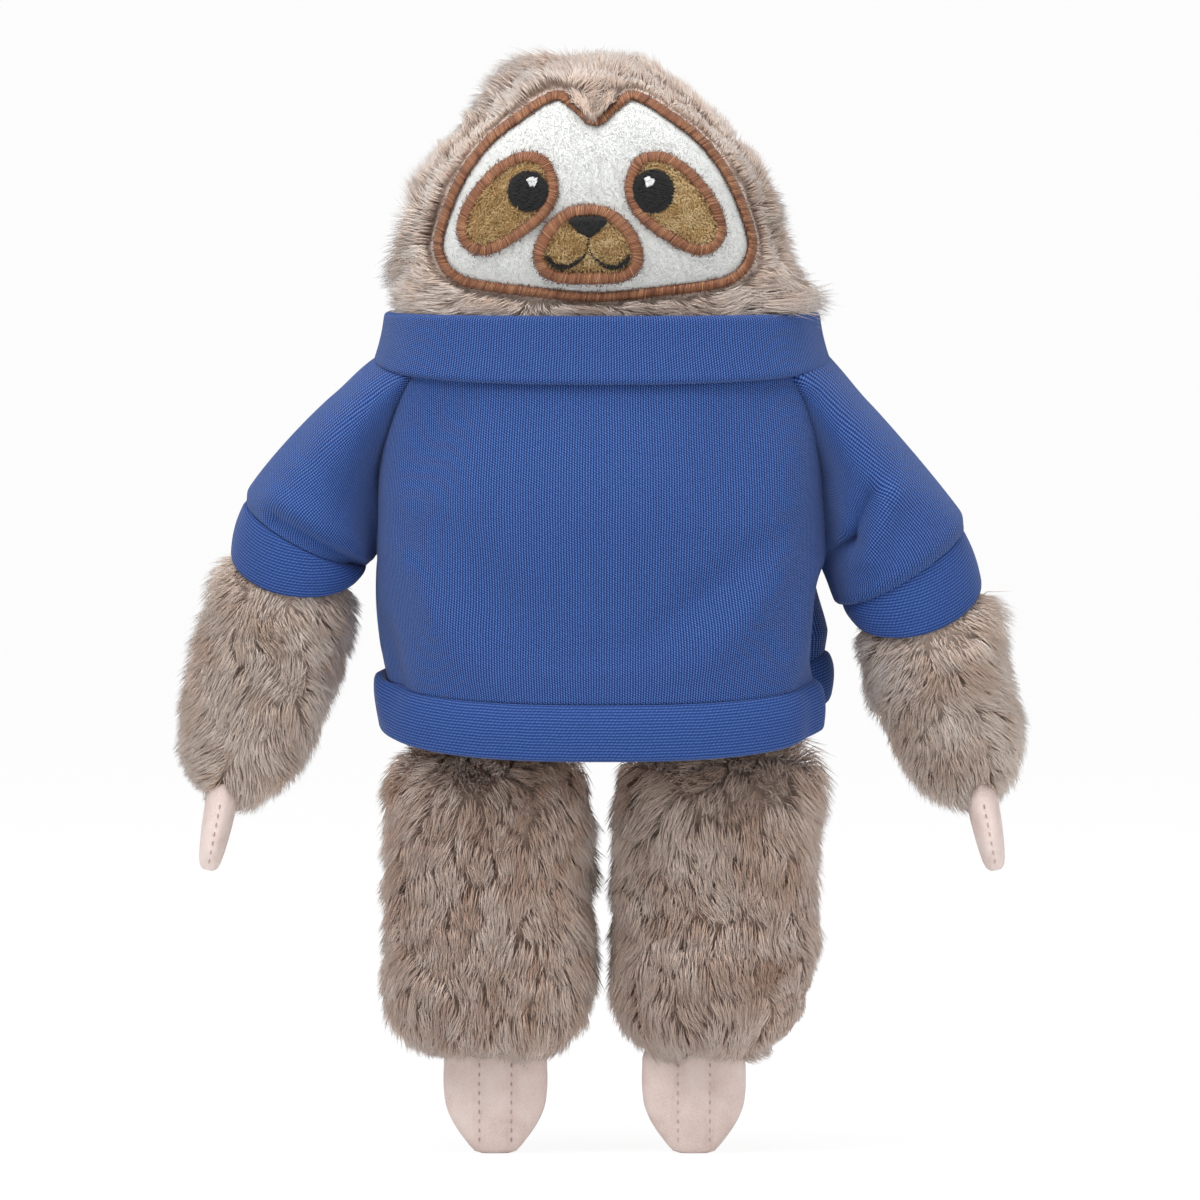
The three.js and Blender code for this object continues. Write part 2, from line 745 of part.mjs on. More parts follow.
function trunkSolid(inset, segments) {
  const [, wide, deep] = torsoShares[0];
  const clear = knitThickness + slack;
  const ring = (height, wideShare, deepShare, tilt) => ringOf(station(0, height,
    torsoHalfWidth * wideShare - clear - inset, torsoHalfDepth * deepShare - clear - inset, 0, tilt,
    torsoPower), segments);
  const seat = seatShares.map(([share, wideShare, deepShare]) => ring(
    THREE.MathUtils.lerp(trunkBottomHeight + inset, hemSeamHeight, share),
    wide * wideShare, deep * deepShare, hemTiltAngle * share));
  const chest = torsoShares.map(([share, wideShare, deepShare]) => {
    const height = THREE.MathUtils.lerp(hemSeamHeight, collarSeamHeight, share);
    const tilt = THREE.MathUtils.lerp(hemTiltAngle, collarTiltAngle, share);
    const place = station(0, height, torsoHalfWidth * wideShare - clear - inset,
      torsoHalfDepth * deepShare - clear - inset, 0, tilt, torsoPower);
    return ringOf(place, segments, (angle) => foldInset(angle, share));
  });
  const neck = ringOf(station(headOffset * neckOffsetShare, neckHeight - gap / 2, neckHalfWidth() - inset,
    neckHalfDepth() - inset, 0, 0, torsoPower), segments);
  return loft([...seat, ...chest, neck]);
}

function neckHalfWidth() {
  return headHalfWidth * headShares[0][1];
}

function neckHalfDepth() {
  return headHalfDepth * headShares[0][2];
}

function addTrunk() {
  const hipGroove = socketSolid(torsoHalfWidth, legHalfDepth, new THREE.Vector3(0, 0, hipHeight), 0, 0);
  const cavity = trunkSolid(bodyFur, stuffingSegments);
  const neckHole = loft([collarSeamHeight, neckHeight + overrun].map((height) =>
    ringOf(station(headOffset * neckOffsetShare, height, neckHalfWidth() - headFur,
      neckHalfDepth() - headFur, 0, 0, torsoPower), stuffingSegments)));
  let skin = trunkSolid(0, torsoSegments).subtract(cavity).subtract(neckHole).subtract(hipGroove);
  let filling = trunkSolid(bodyFur + gap, stuffingSegments);
  for (const arm of arms) {
    skin = skin.subtract(armSweep(arm, gap));
    filling = filling.subtract(armSweep(arm, gap + gap));
  }
  addPiece("trunk_skin", skin, legFurCloth);
  addPiece("trunk_stuffing", filling, stuffingFibre);
}

// Head
// Each row: height from neck to crown, then half width and half depth.
const headShares = [
  [0, 0.975, 0.8],
  [0.13, 0.995, 0.86],
  [0.25, 1, 0.94],
  [0.36, 0.96, 0.99],
  [0.48, 0.915, 1],
  [0.6, 0.86, 0.985],
  [0.7, 0.785, 0.95],
  [0.79, 0.68, 0.885],
  [0.87, 0.555, 0.78],
  [0.94, 0.4, 0.61],
  [0.985, 0.22, 0.37],
  [1, 0.08, 0.14],
];
const headPower = 2.5;
// The head sits a little to one side, and its neck by half as much.
const neckOffsetShare = 0.5;
// How far a layer's crown sinks for each millimetre that its sides draw in.
const crownInsetShare = 0.45;

function headLayer(inset, segments = headSegments) {
  return loft(headShares.map(([share, wide, deep]) => ringOf(
    station(
      headOffset * THREE.MathUtils.lerp(neckOffsetShare, 1, Math.min(share / neckOffsetShare, 1)),
      neckHeight + gap / 2 + (crownHeight - inset * crownInsetShare - neckHeight) * share,
      Math.max(headHalfWidth * wide - inset, gap),
      Math.max(headHalfDepth * deep - inset, gap),
      0, 0, headPower,
    ),
    segments,
  )));
}

// Outlines on the face, drawn in X and Z
// The face patch: one half from the notch on the brow, over the lobe and the cheek, to the chin.
const faceShares = [
  [0, 0.85],
  [0.09, 0.93],
  [0.21, 0.995],
  [0.33, 0.97],
  [0.47, 0.9],
  [0.66, 0.79],
  [0.82, 0.64],
  [0.93, 0.47],
  [1, 0.29],
  [0.965, 0.17],
  [0.87, 0.095],
  [0.74, 0.06],
  [0.45, 0.03],
  [0, 0],
];
// The eye patch, a slanted drop, in shares of the face.
const eyePatchShares = [
  [0.42, 0.71],
  [0.3, 0.69],
  [0.24, 0.63],
  [0.21, 0.54],
  [0.24, 0.45],
  [0.32, 0.37],
  [0.48, 0.28],
  [0.62, 0.225],
  [0.71, 0.22],
  [0.79, 0.25],
  [0.84, 0.32],
  [0.83, 0.4],
  [0.76, 0.51],
  [0.64, 0.62],
  [0.53, 0.68],
];
const eyeShares = [0.39, 0.52];
// The muzzle, one half from its top to its underside, in shares of its own half sizes.
const muzzleShares = [
  [0, 1],
  [0.35, 0.91],
  [0.64, 0.67],
  [0.87, 0.35],
  [1, 0],
  [0.98, -0.27],
  [0.84, -0.65],
  [0.55, -0.91],
  [0.22, -1],
];
const noseShares = [
  [0, 0.7],
  [0.24, 0.68],
  [0.33, 0.58],
  [0.3, 0.46],
  [0.15, 0.27],
  [0, 0.15],
];
// The smile, one half: across, up, and how thick the stroke is.
const smileShares = [
  [0, -0.16, 0],
  [0.1, -0.32, 0.1],
  [0.27, -0.5, 0.5],
  [0.45, -0.57, 1],
  [0.64, -0.48, 0.9],
  [0.76, -0.3, 0.3],
];

function mirrored(half) {
  const inner = half.filter(([x]) => x !== 0).map(([x, z]) => [-x, z]).reverse();
  return [...half, ...inner];
}

function facePoint([across, up]) {
  return [headOffset + faceHalfWidth * across, faceBottomHeight + faceHeight * up];
}

function muzzlePoint([across, up]) {
  return [headOffset + muzzleShift + muzzleHalfWidth * across, muzzleHeight + muzzleHalfHeight * up];
}

function smoothOutline(points) {
  const curve = new THREE.CatmullRomCurve3(points.map(([x, z]) => new THREE.Vector3(x, 0, z)), true);
  return curve.getPoints(points.length * outlineSteps).slice(0, -1).map((point) => [point.x, point.z]);
}

// The same outline drawn in by a distance, each point moved square to the line there.
function drawnIn(outline, distance) {
  const area = outline.reduce((sum, [x, z], index) => {
    const [nextX, nextZ] = outline[(index + 1) % outline.length];
    return sum + x * nextZ - nextX * z;
  }, 0);
  return outline.map(([x, z], index) => {
    const [lastX, lastZ] = outline[(index + outline.length - 1) % outline.length];
    const [nextX, nextZ] = outline[(index + 1) % outline.length];
    const along = new THREE.Vector2(nextX - lastX, nextZ - lastZ).normalize();
    const side = Math.sign(area) * distance;
    return [x - along.y * side, z + along.x * side];
  });
}

function circleOutline([x, z], radius, steps) {
  return Array.from({ length: steps }, (_, index) => {
    const angle = (index / steps) * fullTurn;
    return [x + radius * Math.cos(angle), z + radius * Math.sin(angle)];
  });
}

// A piece of the face: a flat outline brought to the head's curve between two depths below the fur.
function onFace(outline, floorDepth, thickness) {
  const front = -headHalfDepth - overrun;
  return prism(outline, front, 0)
    .intersect(headLayer(floorDepth - thickness))
    .subtract(headLayer(floorDepth));
}

function frameOutline(outline, width) {
  return [outline, drawnIn(outline, width)];
}

function addFace() {
  const patchFloor = faceRecess - gap;
  const patchTop = patchFloor - patchThickness;
  const appliqueFloor = patchTop - gap;
  const appliqueTop = appliqueFloor - appliqueThickness;
  const border = (outline, width, floor, thickness) => {
    const [outer, inner] = frameOutline(outline, width);
    return onFace(outer, floor, thickness).subtract(prism(inner, -headHalfDepth - overrun, 0));
  };

  const face = smoothOutline(mirrored(faceShares).map(facePoint));
  addPiece("face_border", border(face, faceBorderWidth, patchFloor, patchThickness + stitchRise),
    brownThread);
  addPiece("face_patch", onFace(drawnIn(face, faceBorderWidth + gap), patchFloor, patchThickness),
    whiteMinky);

  for (const [name, sign] of [["right", -1], ["left", 1]]) {
    const place = ([across, up]) => facePoint([sign * across, up]);
    const patch = smoothOutline(eyePatchShares.map(place));
    const [eyeX, eyeZ] = place(eyeShares);
    const eye = [eyeX + eyeShift, eyeZ];
    const aroundEye = prism(circleOutline(eye, eyeRadius + gap, eyeSteps), -headHalfDepth - overrun, 0);
    addPiece(`${name}_eye_border`,
      border(patch, eyeBorderWidth, appliqueFloor, appliqueThickness + stitchRise).subtract(aroundEye),
      brownThread);
    addPiece(`${name}_eye_patch`,
      onFace(drawnIn(patch, eyeBorderWidth + gap), appliqueFloor, appliqueThickness), tanMinky);
    addPiece(`${name}_eye`, onFace(circleOutline(eye, eyeRadius, eyeSteps), appliqueTop - gap, eyeThickness),
      blackThread);
    const glint = [eye[0] - sign * glintInward, eye[1] + glintRise];
    addPiece(`${name}_eye_glint`,
      onFace(circleOutline(glint, glintRadius, glintSteps), appliqueTop - gap - eyeThickness - gap,
        glintThickness),
      whiteThread);
  }

  const muzzle = smoothOutline(mirrored(muzzleShares).map(muzzlePoint));
  const muzzleTop = appliqueTop - muzzlePuff;
  const muzzleThickness = appliqueThickness + muzzlePuff;
  addPiece("muzzle_border",
    border(muzzle, muzzleBorderWidth, appliqueFloor, muzzleThickness + stitchRise), brownThread);
  addPiece("muzzle_patch",
    onFace(drawnIn(muzzle, muzzleBorderWidth + gap), appliqueFloor, muzzleThickness), tanMinky);
  const nose = smoothOutline(mirrored(noseShares).map(muzzlePoint));
  const inMuzzle = prism(drawnIn(muzzle, muzzleBorderWidth + gap), -headHalfDepth - overrun, 0);
  addPiece("nose", onFace(nose, muzzleTop - gap, noseThickness).intersect(inMuzzle), blackThread);
  addPiece("mouth",
    mouthPrism().intersect(headLayer(muzzleTop - gap - mouthThickness)).subtract(headLayer(muzzleTop - gap))
      .intersect(inMuzzle),
    blackThread);
  return face;
}

// The mouth: a smile whose stroke swells towards each cheek, hung from the nose by a short line.
function mouthPrism() {
  const width = (thick) => THREE.MathUtils.lerp(mouthThinWidth, mouthThickWidth, thick) / 2;
  const line = [...smileShares.slice(1).reverse().map(([x, z, thick]) => [-x, z, thick]), ...smileShares];
  const places = line.map(([x, z]) => muzzlePoint([x, z]));
  const curve = new THREE.CatmullRomCurve3(places.map(([x, z]) => new THREE.Vector3(x, 0, z)));
  const count = (line.length - 1) * mouthSteps;
  const edges = [[], []];
  for (let index = 0; index <= count; index += 1) {
    const share = index / count;
    const point = curve.getPoint(share);
    const along = curve.getTangent(share);
    const spot = share * (line.length - 1);
    const low = Math.min(Math.floor(spot), line.length - 2);
    const half = width(THREE.MathUtils.lerp(line[low][2], line[low + 1][2], spot - low));
    edges[0].push([point.x - along.z * half, point.z + along.x * half]);
    edges[1].push([point.x + along.z * half, point.z - along.x * half]);
  }
  const front = -headHalfDepth - overrun;
  const smile = prism([...edges[1], ...edges[0].reverse()], front, 0);
  const [noseX, noseZ] = muzzlePoint(noseShares[noseShares.length - 1]);
  const [, smileZ] = muzzlePoint(smileShares[0]);
  const half = mouthThinWidth / 2;
  const stem = prism([
    [noseX - half, smileZ - half],
    [noseX + half, smileZ - half],
    [noseX + half, noseZ - gap],
    [noseX - half, noseZ - gap],
  ], front, 0);
  return smile.add(stem);
}

function addHead() {
  const face = addFace();
  const opening = prism(drawnIn(face, -gap), -headHalfDepth - overrun, 0);
  const recess = opening.subtract(headLayer(faceRecess));
  const throat = loft([neckHeight - overrun, neckHeight + headFur * 2].map((height) =>
    ringOf(station(headOffset * neckOffsetShare, height, neckHalfWidth() - headFur,
      neckHalfDepth() - headFur, 0, 0, headPower), stuffingSegments)));
  const cavity = headLayer(headFur, stuffingSegments).subtract(neckCut(neckHeight + headFur / 2));
  const skin = headLayer(0).subtract(recess).subtract(cavity).subtract(throat);
  addPiece("head_skin", skin, headFurCloth);
  addPiece("head_stuffing",
    headLayer(headFur + gap, stuffingSegments).subtract(neckCut(neckHeight + headFur / 2 + gap)),
    stuffingFibre);
}

// Everything below a height, used to end the head's filling above its throat.
function neckCut(height) {
  const half = headHalfWidth + overrun;
  return prism([[-half, 0], [half, 0], [half, height], [-half, height]], -half, half);
}

function addSweater() {
  let shell = torsoShell;
  for (const arm of arms) {
    shell = shell.subtract(sleeveLoft(arm, knitThickness, true));
  }
  const side = torsoHalfWidth + overrun;
  const column = [[-side, 0], [side, 0], [side, crownHeight], [-side, crownHeight]];
  addPiece("front_panel", shell.intersect(prism(column, -side, -gap / 2)), blueKnit);
  addPiece("back_panel", shell.intersect(prism(column, gap / 2, side)), blueKnit);
  addPiece("collar_band", ribbedBand(collarTop, collarBottom, torsoSegments), blueKnit);
  addPiece("hem_band", ribbedBand(hemTop, hemBottom, torsoSegments), blueKnit);
}

addHead();
addTrunk();
addSweater();
arms.forEach(addArm);
legs.forEach(addLeg);

export default toy;
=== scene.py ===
# %% [markdown]
# # A plush sloth in a knitted sweater
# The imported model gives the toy's pieces at their real size, with its joints. This lesson dresses it: long pile on
# the skins, short pile and embroidery on the face, knitted cloth for the sweater, and velour pads for the claws and
# feet. Lengths are written in millimetres and turned to metres when a mesh is made.

# %% Load the frame
import bpy
import numpy as np
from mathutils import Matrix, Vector, kdtree


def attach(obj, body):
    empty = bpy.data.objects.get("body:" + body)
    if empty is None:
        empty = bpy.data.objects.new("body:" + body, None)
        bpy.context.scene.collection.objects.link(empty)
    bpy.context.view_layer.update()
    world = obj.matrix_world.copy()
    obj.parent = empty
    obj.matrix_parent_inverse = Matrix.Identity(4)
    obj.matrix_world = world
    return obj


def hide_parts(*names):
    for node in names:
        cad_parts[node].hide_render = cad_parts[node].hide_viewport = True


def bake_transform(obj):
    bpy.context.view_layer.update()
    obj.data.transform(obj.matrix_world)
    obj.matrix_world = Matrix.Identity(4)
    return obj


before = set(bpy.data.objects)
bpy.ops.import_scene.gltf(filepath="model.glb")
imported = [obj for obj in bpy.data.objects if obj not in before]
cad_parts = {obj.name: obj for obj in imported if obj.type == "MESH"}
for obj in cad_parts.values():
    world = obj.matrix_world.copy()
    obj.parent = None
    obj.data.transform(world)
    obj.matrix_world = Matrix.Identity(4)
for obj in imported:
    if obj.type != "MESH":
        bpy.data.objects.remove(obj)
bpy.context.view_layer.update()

MM = 0.001
SIDES = (("right", -1), ("left", 1))

# %% [markdown]
# ## Making a mesh from numbers
# Pile, stitches and cloth are thousands of small faces, so their points are worked out in arrays and handed to
# Blender in one go. Each piece then gets its material and its body.


# %% Mesh helpers
def corner_list(groups):
    """All corners of several face arrays in a row, and where each face starts."""
    sizes = np.concatenate([np.full(len(group), group.shape[1]) for group in groups])
    starts = np.concatenate([[0], np.cumsum(sizes)[:-1]])
    return np.concatenate([group.ravel() for group in groups]), starts


def make_piece(name, points, groups, material, maps=None):
    """One object from points in millimetres and arrays of triangles or quads; maps give a place per corner."""
    corners, starts = corner_list(groups)
    mesh = bpy.data.meshes.new(name)
    mesh.vertices.add(len(points))
    mesh.vertices.foreach_set("co", (np.asarray(points) * MM).astype(np.float32).ravel())
    mesh.loops.add(len(corners))
    mesh.loops.foreach_set("vertex_index", corners.astype(np.int32))
    mesh.polygons.add(len(starts))
    mesh.polygons.foreach_set("loop_start", starts.astype(np.int32))
    mesh.update(calc_edges=True)
    for map_name, places in (maps or {}).items():
        mesh.uv_layers.new(name=map_name).uv.foreach_set("vector", places.astype(np.float32).ravel())
    mesh.shade_smooth()
    mesh.materials.append(material)
    piece = bpy.data.objects.new(name, mesh)
    bpy.context.scene.collection.objects.link(piece)
    return piece


def dress(piece, body, slot, *nodes):
    """Fixes a piece to a body and hides the solids that it stands for."""
    if body:
        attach(piece, body)
    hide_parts(*nodes)
    print(piece.name, "has", len(piece.data.polygons), "faces")


def select_only(piece):
    bpy.ops.object.select_all(action="DESELECT")
    bpy.context.view_layer.objects.active = piece
    piece.select_set(True)


def recalculate(piece):
    """Turns every closed shell of a piece so that its faces point outward."""
    select_only(piece)
    bpy.ops.object.mode_set(mode="EDIT")
    bpy.ops.mesh.select_all(action="SELECT")
    bpy.ops.mesh.normals_make_consistent(inside=False)
    bpy.ops.object.mode_set(mode="OBJECT")
    piece.select_set(False)


def unit(vectors):
    return vectors / np.maximum(np.linalg.norm(vectors, axis=-1, keepdims=True), 1e-9)


def smoothstep(value, low, high):
    share = np.clip((value - low) / (high - low), 0, 1)
    return share * share * (3 - 2 * share)


# %% [markdown]
# ## Rings and tables
# A stuffed limb is a stack of rings, each a rounded oval with a width, a depth and a lean. A short table gives the
# shape where it changes, and a smooth curve through its rows gives as many rings as the surface needs.


# %% Ring helpers
def read_table(rows, at):
    """Rows of a table whose first column rises, met by one smooth curve and read off at any places."""
    rows = np.array(rows, float)
    steps, values = rows[:, 0], rows[:, 1:]
    slopes = np.gradient(values, steps, axis=0)
    at = np.clip(np.asarray(at, float), steps[0], steps[-1])
    low = np.clip(np.searchsorted(steps, at, side="right") - 1, 0, len(steps) - 2)
    span = (steps[low + 1] - steps[low])[..., None]
    u = (at[..., None] - steps[low][..., None]) / span
    ease = u * u * (3 - 2 * u)
    bulge = u * (1 - u) * span * (slopes[low] * (1 - u) - slopes[low + 1] * u)
    return values[low] * (1 - ease) + values[low + 1] * ease + bulge


def bend(value, power):
    return np.sign(value) * np.abs(value) ** (2 / power)


def station(x, z, half_width, half_depth, turn=0.0, tilt=0.0, power=2.0, level=1.0):
    """One ring's place: its centre and directions, half sizes, how square it is and how far its back rises."""
    turn, tilt = np.radians(turn), np.radians(tilt)
    return {"centre": np.array([x, 0, z]), "across": np.array([np.cos(turn), 0, np.sin(turn)]),
            "back": np.array([0, np.cos(tilt), np.sin(tilt)]), "half_width": half_width,
            "half_depth": half_depth, "power": power, "level": level}


def ring(place, angles):
    wide = place["half_width"] * bend(np.cos(angles), place["power"])
    deep = place["half_depth"] * bend(np.sin(angles), place["power"])
    points = place["centre"] + wide[:, None] * place["across"] + deep[:, None] * place["back"]
    points[:, 2] -= np.maximum(deep, 0) * place["back"][2] * (1 - place["level"])
    return points


def round_angles(count):
    return np.arange(count) / count * 2 * np.pi


def rounded_ends(grid):
    """A grid of rings with both ends drawn in towards their middles, so that the skin closes."""
    first, last = grid[0].mean(axis=0), grid[-1].mean(axis=0)
    low = [first + (grid[0] - first) * share for share in (0.03, 0.5)]
    high = [last + (grid[-1] - last) * share for share in (0.5, 0.03)]
    return np.concatenate([low, grid, high])


def ring_faces(rows, columns):
    """Quads between rings, with the map column of each corner left unwrapped."""
    row, column = np.meshgrid(np.arange(rows - 1), np.arange(columns), indexing="ij")
    row, column = row.ravel(), column.ravel()
    after = (column + 1) % columns
    quads = np.stack([row * columns + column, row * columns + after,
                      (row + 1) * columns + after, (row + 1) * columns + column], axis=1)
    places = np.stack([np.stack([row, column], 1), np.stack([row, column + 1], 1),
                       np.stack([row + 1, column + 1], 1), np.stack([row + 1, column], 1)], axis=1)
    return quads, places.reshape(-1, 2)


def grid_normals(grid):
    around = np.roll(grid, -1, axis=1) - np.roll(grid, 1, axis=1)
    normals = unit(np.cross(around, np.gradient(grid, axis=0)))
    outward = (normals * (grid - grid.mean(axis=1, keepdims=True))).sum()
    return normals if outward > 0 else -normals


# %% [markdown]
# ## Colours and nodes
# Every colour is read from the toy as a screen value, and one function turns it to the linear value that Blender's
# shaders use. One function adds a node with its settings and links.


# %% Colour and node helpers
def colour(text):
    screen = np.array([int(text[i:i + 2], 16) / 255 for i in (1, 3, 5)])
    linear = np.where(screen <= 0.04045, screen / 12.92, ((screen + 0.055) / 1.055) ** 2.4)
    return (*linear.tolist(), 1.0)


def add(tree, kind, settings=None, **inputs):
    """A new node; an input takes a value, or a socket that it is then linked to."""
    node = tree.nodes.new("ShaderNode" + kind)
    for name, value in (settings or {}).items():
        setattr(node, name, value)
    for name, value in inputs.items():
        socket = next(s for s in node.inputs if s.identifier == name or s.name == name.replace("_", " "))
        if isinstance(value, bpy.types.NodeSocket):
            tree.links.new(value, socket)
        else:
            socket.default_value = value
    return node


def new_material(name):
    """An empty material and its tree, with an output that waits for a shader."""
    material = bpy.data.materials.new(name)
    material.use_nodes = True
    tree = material.node_tree
    tree.nodes.clear()
    return material, tree


def finish_material(tree, **inputs):
    shader = add(tree, "BsdfPrincipled", **inputs)
    add(tree, "OutputMaterial", Surface=shader.outputs["BSDF"])


def maths(tree, operation, *values):
    """The result of a Math node from up to three values or sockets."""
    inputs = dict(zip(("Value", "Value_001", "Value_002"), values))
    return add(tree, "Math", {"operation": operation}, **inputs).outputs[0]


def ramped(tree, value, stops):
    """The colour that a ramp gives to a value; its stops are places with screen colours."""
    node = add(tree, "ValToRGB", Fac=value)
    ramp = node.color_ramp
    while len(ramp.elements) < len(stops):
        ramp.elements.new(0.5)
    for element, (place, text) in zip(ramp.elements, stops):
        element.position = place
        element.color = colour(text)
    return node.outputs["Color"]


def read_map(tree, name):
    """A piece's own map, whole and as its two parts."""
    place = add(tree, "UVMap", {"uv_map": name}).outputs["UV"]
    parts = add(tree, "SeparateXYZ", Vector=place).outputs
    return place, parts["X"], parts["Y"]


# %% [markdown]
# ## Long pile: acrylic fur cloth
# The skins are knitted acrylic fur: fine fibres, darker at the root where light doesn't reach and paler at the tip.
# Each strand carries a map with its own tint across and its length upward, so the colour follows the fibre. A soft
# sheen gives the pale rim that brushed fibres show against the light, and the high roughness keeps it matt.


# %% Fur material
def fur_material(name, stops, shade):
    material, tree = new_material(name)
    _, across, upward = read_map(tree, "pile")
    along = ramped(tree, upward, stops)
    tint = ramped(tree, across, [(0.0, shade), (1.0, "#FFFFFF")])
    mixed = add(tree, "Mix", {"data_type": "RGBA", "blend_type": "MULTIPLY"}, Factor_Float=1.0, A_Color=along,
                B_Color=tint)
    finish_material(tree, Base_Color=mixed.outputs[2], Roughness=0.75, Sheen_Weight=0.5, Sheen_Roughness=0.5,
                    Specular_IOR_Level=0.25)
    print("material", name)
    return material


grey_fur = fur_material("acrylic_fur_grey_brown",
                        [(0.0, "#DCC9BC"), (0.3, "#EFE0D4"), (0.75, "#F8EBE1"), (1.0, "#FDF4ED")], "#D6C4B8")
brown_fur = fur_material("acrylic_fur_brown",
                         [(0.0, "#C0A898"), (0.3, "#E2CCBE"), (0.75, "#F0DFD3"), (1.0, "#F7EAE0")], "#CEB7A8")

# %% [markdown]
# ## Growing the pile
# A strand is a slim three-sided spike that leaves the skin steeply and bends over the way it is combed. Real pile
# gathers in small locks, so each strand leans towards the tip of the nearest lock. Random numbers come from a fixed
# seed, which gives the same coat on every run.


# %% Pile helpers
def scatter(grid, density, rng):
    """Points spread evenly over rings, so many per square millimetre, and the normal at each."""
    normals = grid_normals(grid)
    after = np.roll(grid, -1, axis=1)
    area = np.linalg.norm(np.cross(after[1:] - grid[:-1], after[:-1] - grid[1:]), axis=2) / 2
    total = np.cumsum(area.ravel())
    pick = np.searchsorted(total, rng.random(int(total[-1] * density)) * total[-1])
    row, column = np.divmod(pick, grid.shape[1])
    u, v = rng.random((2, len(pick), 1))

    def between(values):
        beside = np.roll(values, -1, axis=1)
        low = values[row, column] * (1 - u) + beside[row, column] * u
        high = values[row + 1, column] * (1 - u) + beside[row + 1, column] * u
        return low * (1 - v) + high * v

    return between(grid), unit(between(normals))


def ripple(points, size, seed):
    """A smooth random value from -1 to 1 that changes over about the given size."""
    rng = np.random.default_rng(seed)
    waves = rng.normal(size=(6, 3)) * (2 * np.pi / size) * 0.6
    shifts = rng.random(6) * 2 * np.pi
    return np.sin(points @ waves.T + shifts).sum(axis=1) / 3


def spikes(roots, middles, tips, radius, tint, facing):
    """Closed three-sided strands, pointed at both ends, with their map: tint across, length upward."""
    along = unit(tips - roots)
    side = unit(np.cross(along, facing)) * radius[:, None]
    up = unit(np.cross(side, along)) * radius[:, None]
    section = np.stack([side, -side / 2 + up * 0.87, -side / 2 - up * 0.87], axis=1)
    points = np.concatenate([roots[:, None], middles[:, None] + section, tips[:, None]], axis=1)
    shape = np.array([[0, 2, 1], [0, 3, 2], [0, 1, 3], [1, 2, 4], [2, 3, 4], [3, 1, 4]])
    triangles = (np.arange(len(roots)) * 5)[:, None, None] + shape
    spread = np.array([0, -1, 0, 1, 0]) * 0.008
    length = np.array([0.01, 0.45, 0.46, 0.45, 0.99])
    places = np.stack([np.clip(tint, 0.01, 0.99)[:, None] + spread, np.tile(length, (len(roots), 1))], axis=2)
    return points.reshape(-1, 3), triangles.reshape(-1, 3), places.reshape(-1, 2)


def lock_tips(points, normals, comb, coat, rng):
    """Where each strand bends and ends, drawn towards the lock that it stands nearest to."""
    def ends(at, up, way, long, start, finish):
        middle = at + long / 2 * (up * np.cos(start) + way * np.sin(start))
        return middle, middle + long / 2 * (up * np.cos(finish) + way * np.sin(finish))

    def turned(up, way, angle):
        return way * np.cos(angle) + np.cross(up, way) * np.sin(angle)

    count = len(points)
    chosen = rng.permutation(count)[:max(int(count * coat["locks"]), 1)]
    tree = kdtree.KDTree(len(chosen))
    for index, at in enumerate(points[chosen]):
        tree.insert(Vector(at), index)
    tree.balance()
    lock = np.array([tree.find(Vector(at))[1] for at in points])
    start, finish = np.radians(coat["start"]), np.radians(coat["finish"])
    rise, sweep = 11 * ripple(points, 13, 91), 17 * ripple(points, 16, 92)
    lean = np.radians(rise[chosen] + rng.normal(0, 8, len(chosen)))[:, None]
    long = coat["length"][chosen][:, None] * rng.uniform(0.86, 1.14, len(chosen))[:, None]
    way = turned(normals[chosen], comb[chosen], np.radians(sweep[chosen] + rng.normal(0, 19, len(chosen)))[:, None])
    lock_middle, lock_tip = ends(points[chosen], normals[chosen], way, long, start + lean, finish + lean)
    lean = np.radians(rise + rng.normal(0, 8, count))[:, None]
    long = coat["length"][:, None] * rng.uniform(0.7, 1.08, count)[:, None]
    way = turned(normals, comb, np.radians(sweep + rng.normal(0, 11, count))[:, None])
    middle, tip = ends(points, normals, way, long, start + lean, finish + lean)
    pull = (coat["pull"] * rng.uniform(0.5, 1.2, count))[:, None]
    middle = middle * (1 - pull * 0.3) + lock_middle[lock] * pull * 0.3
    tip = tip * (1 - pull) + lock_tip[lock] * pull
    return middle, tip, rng.random(len(chosen))[lock]


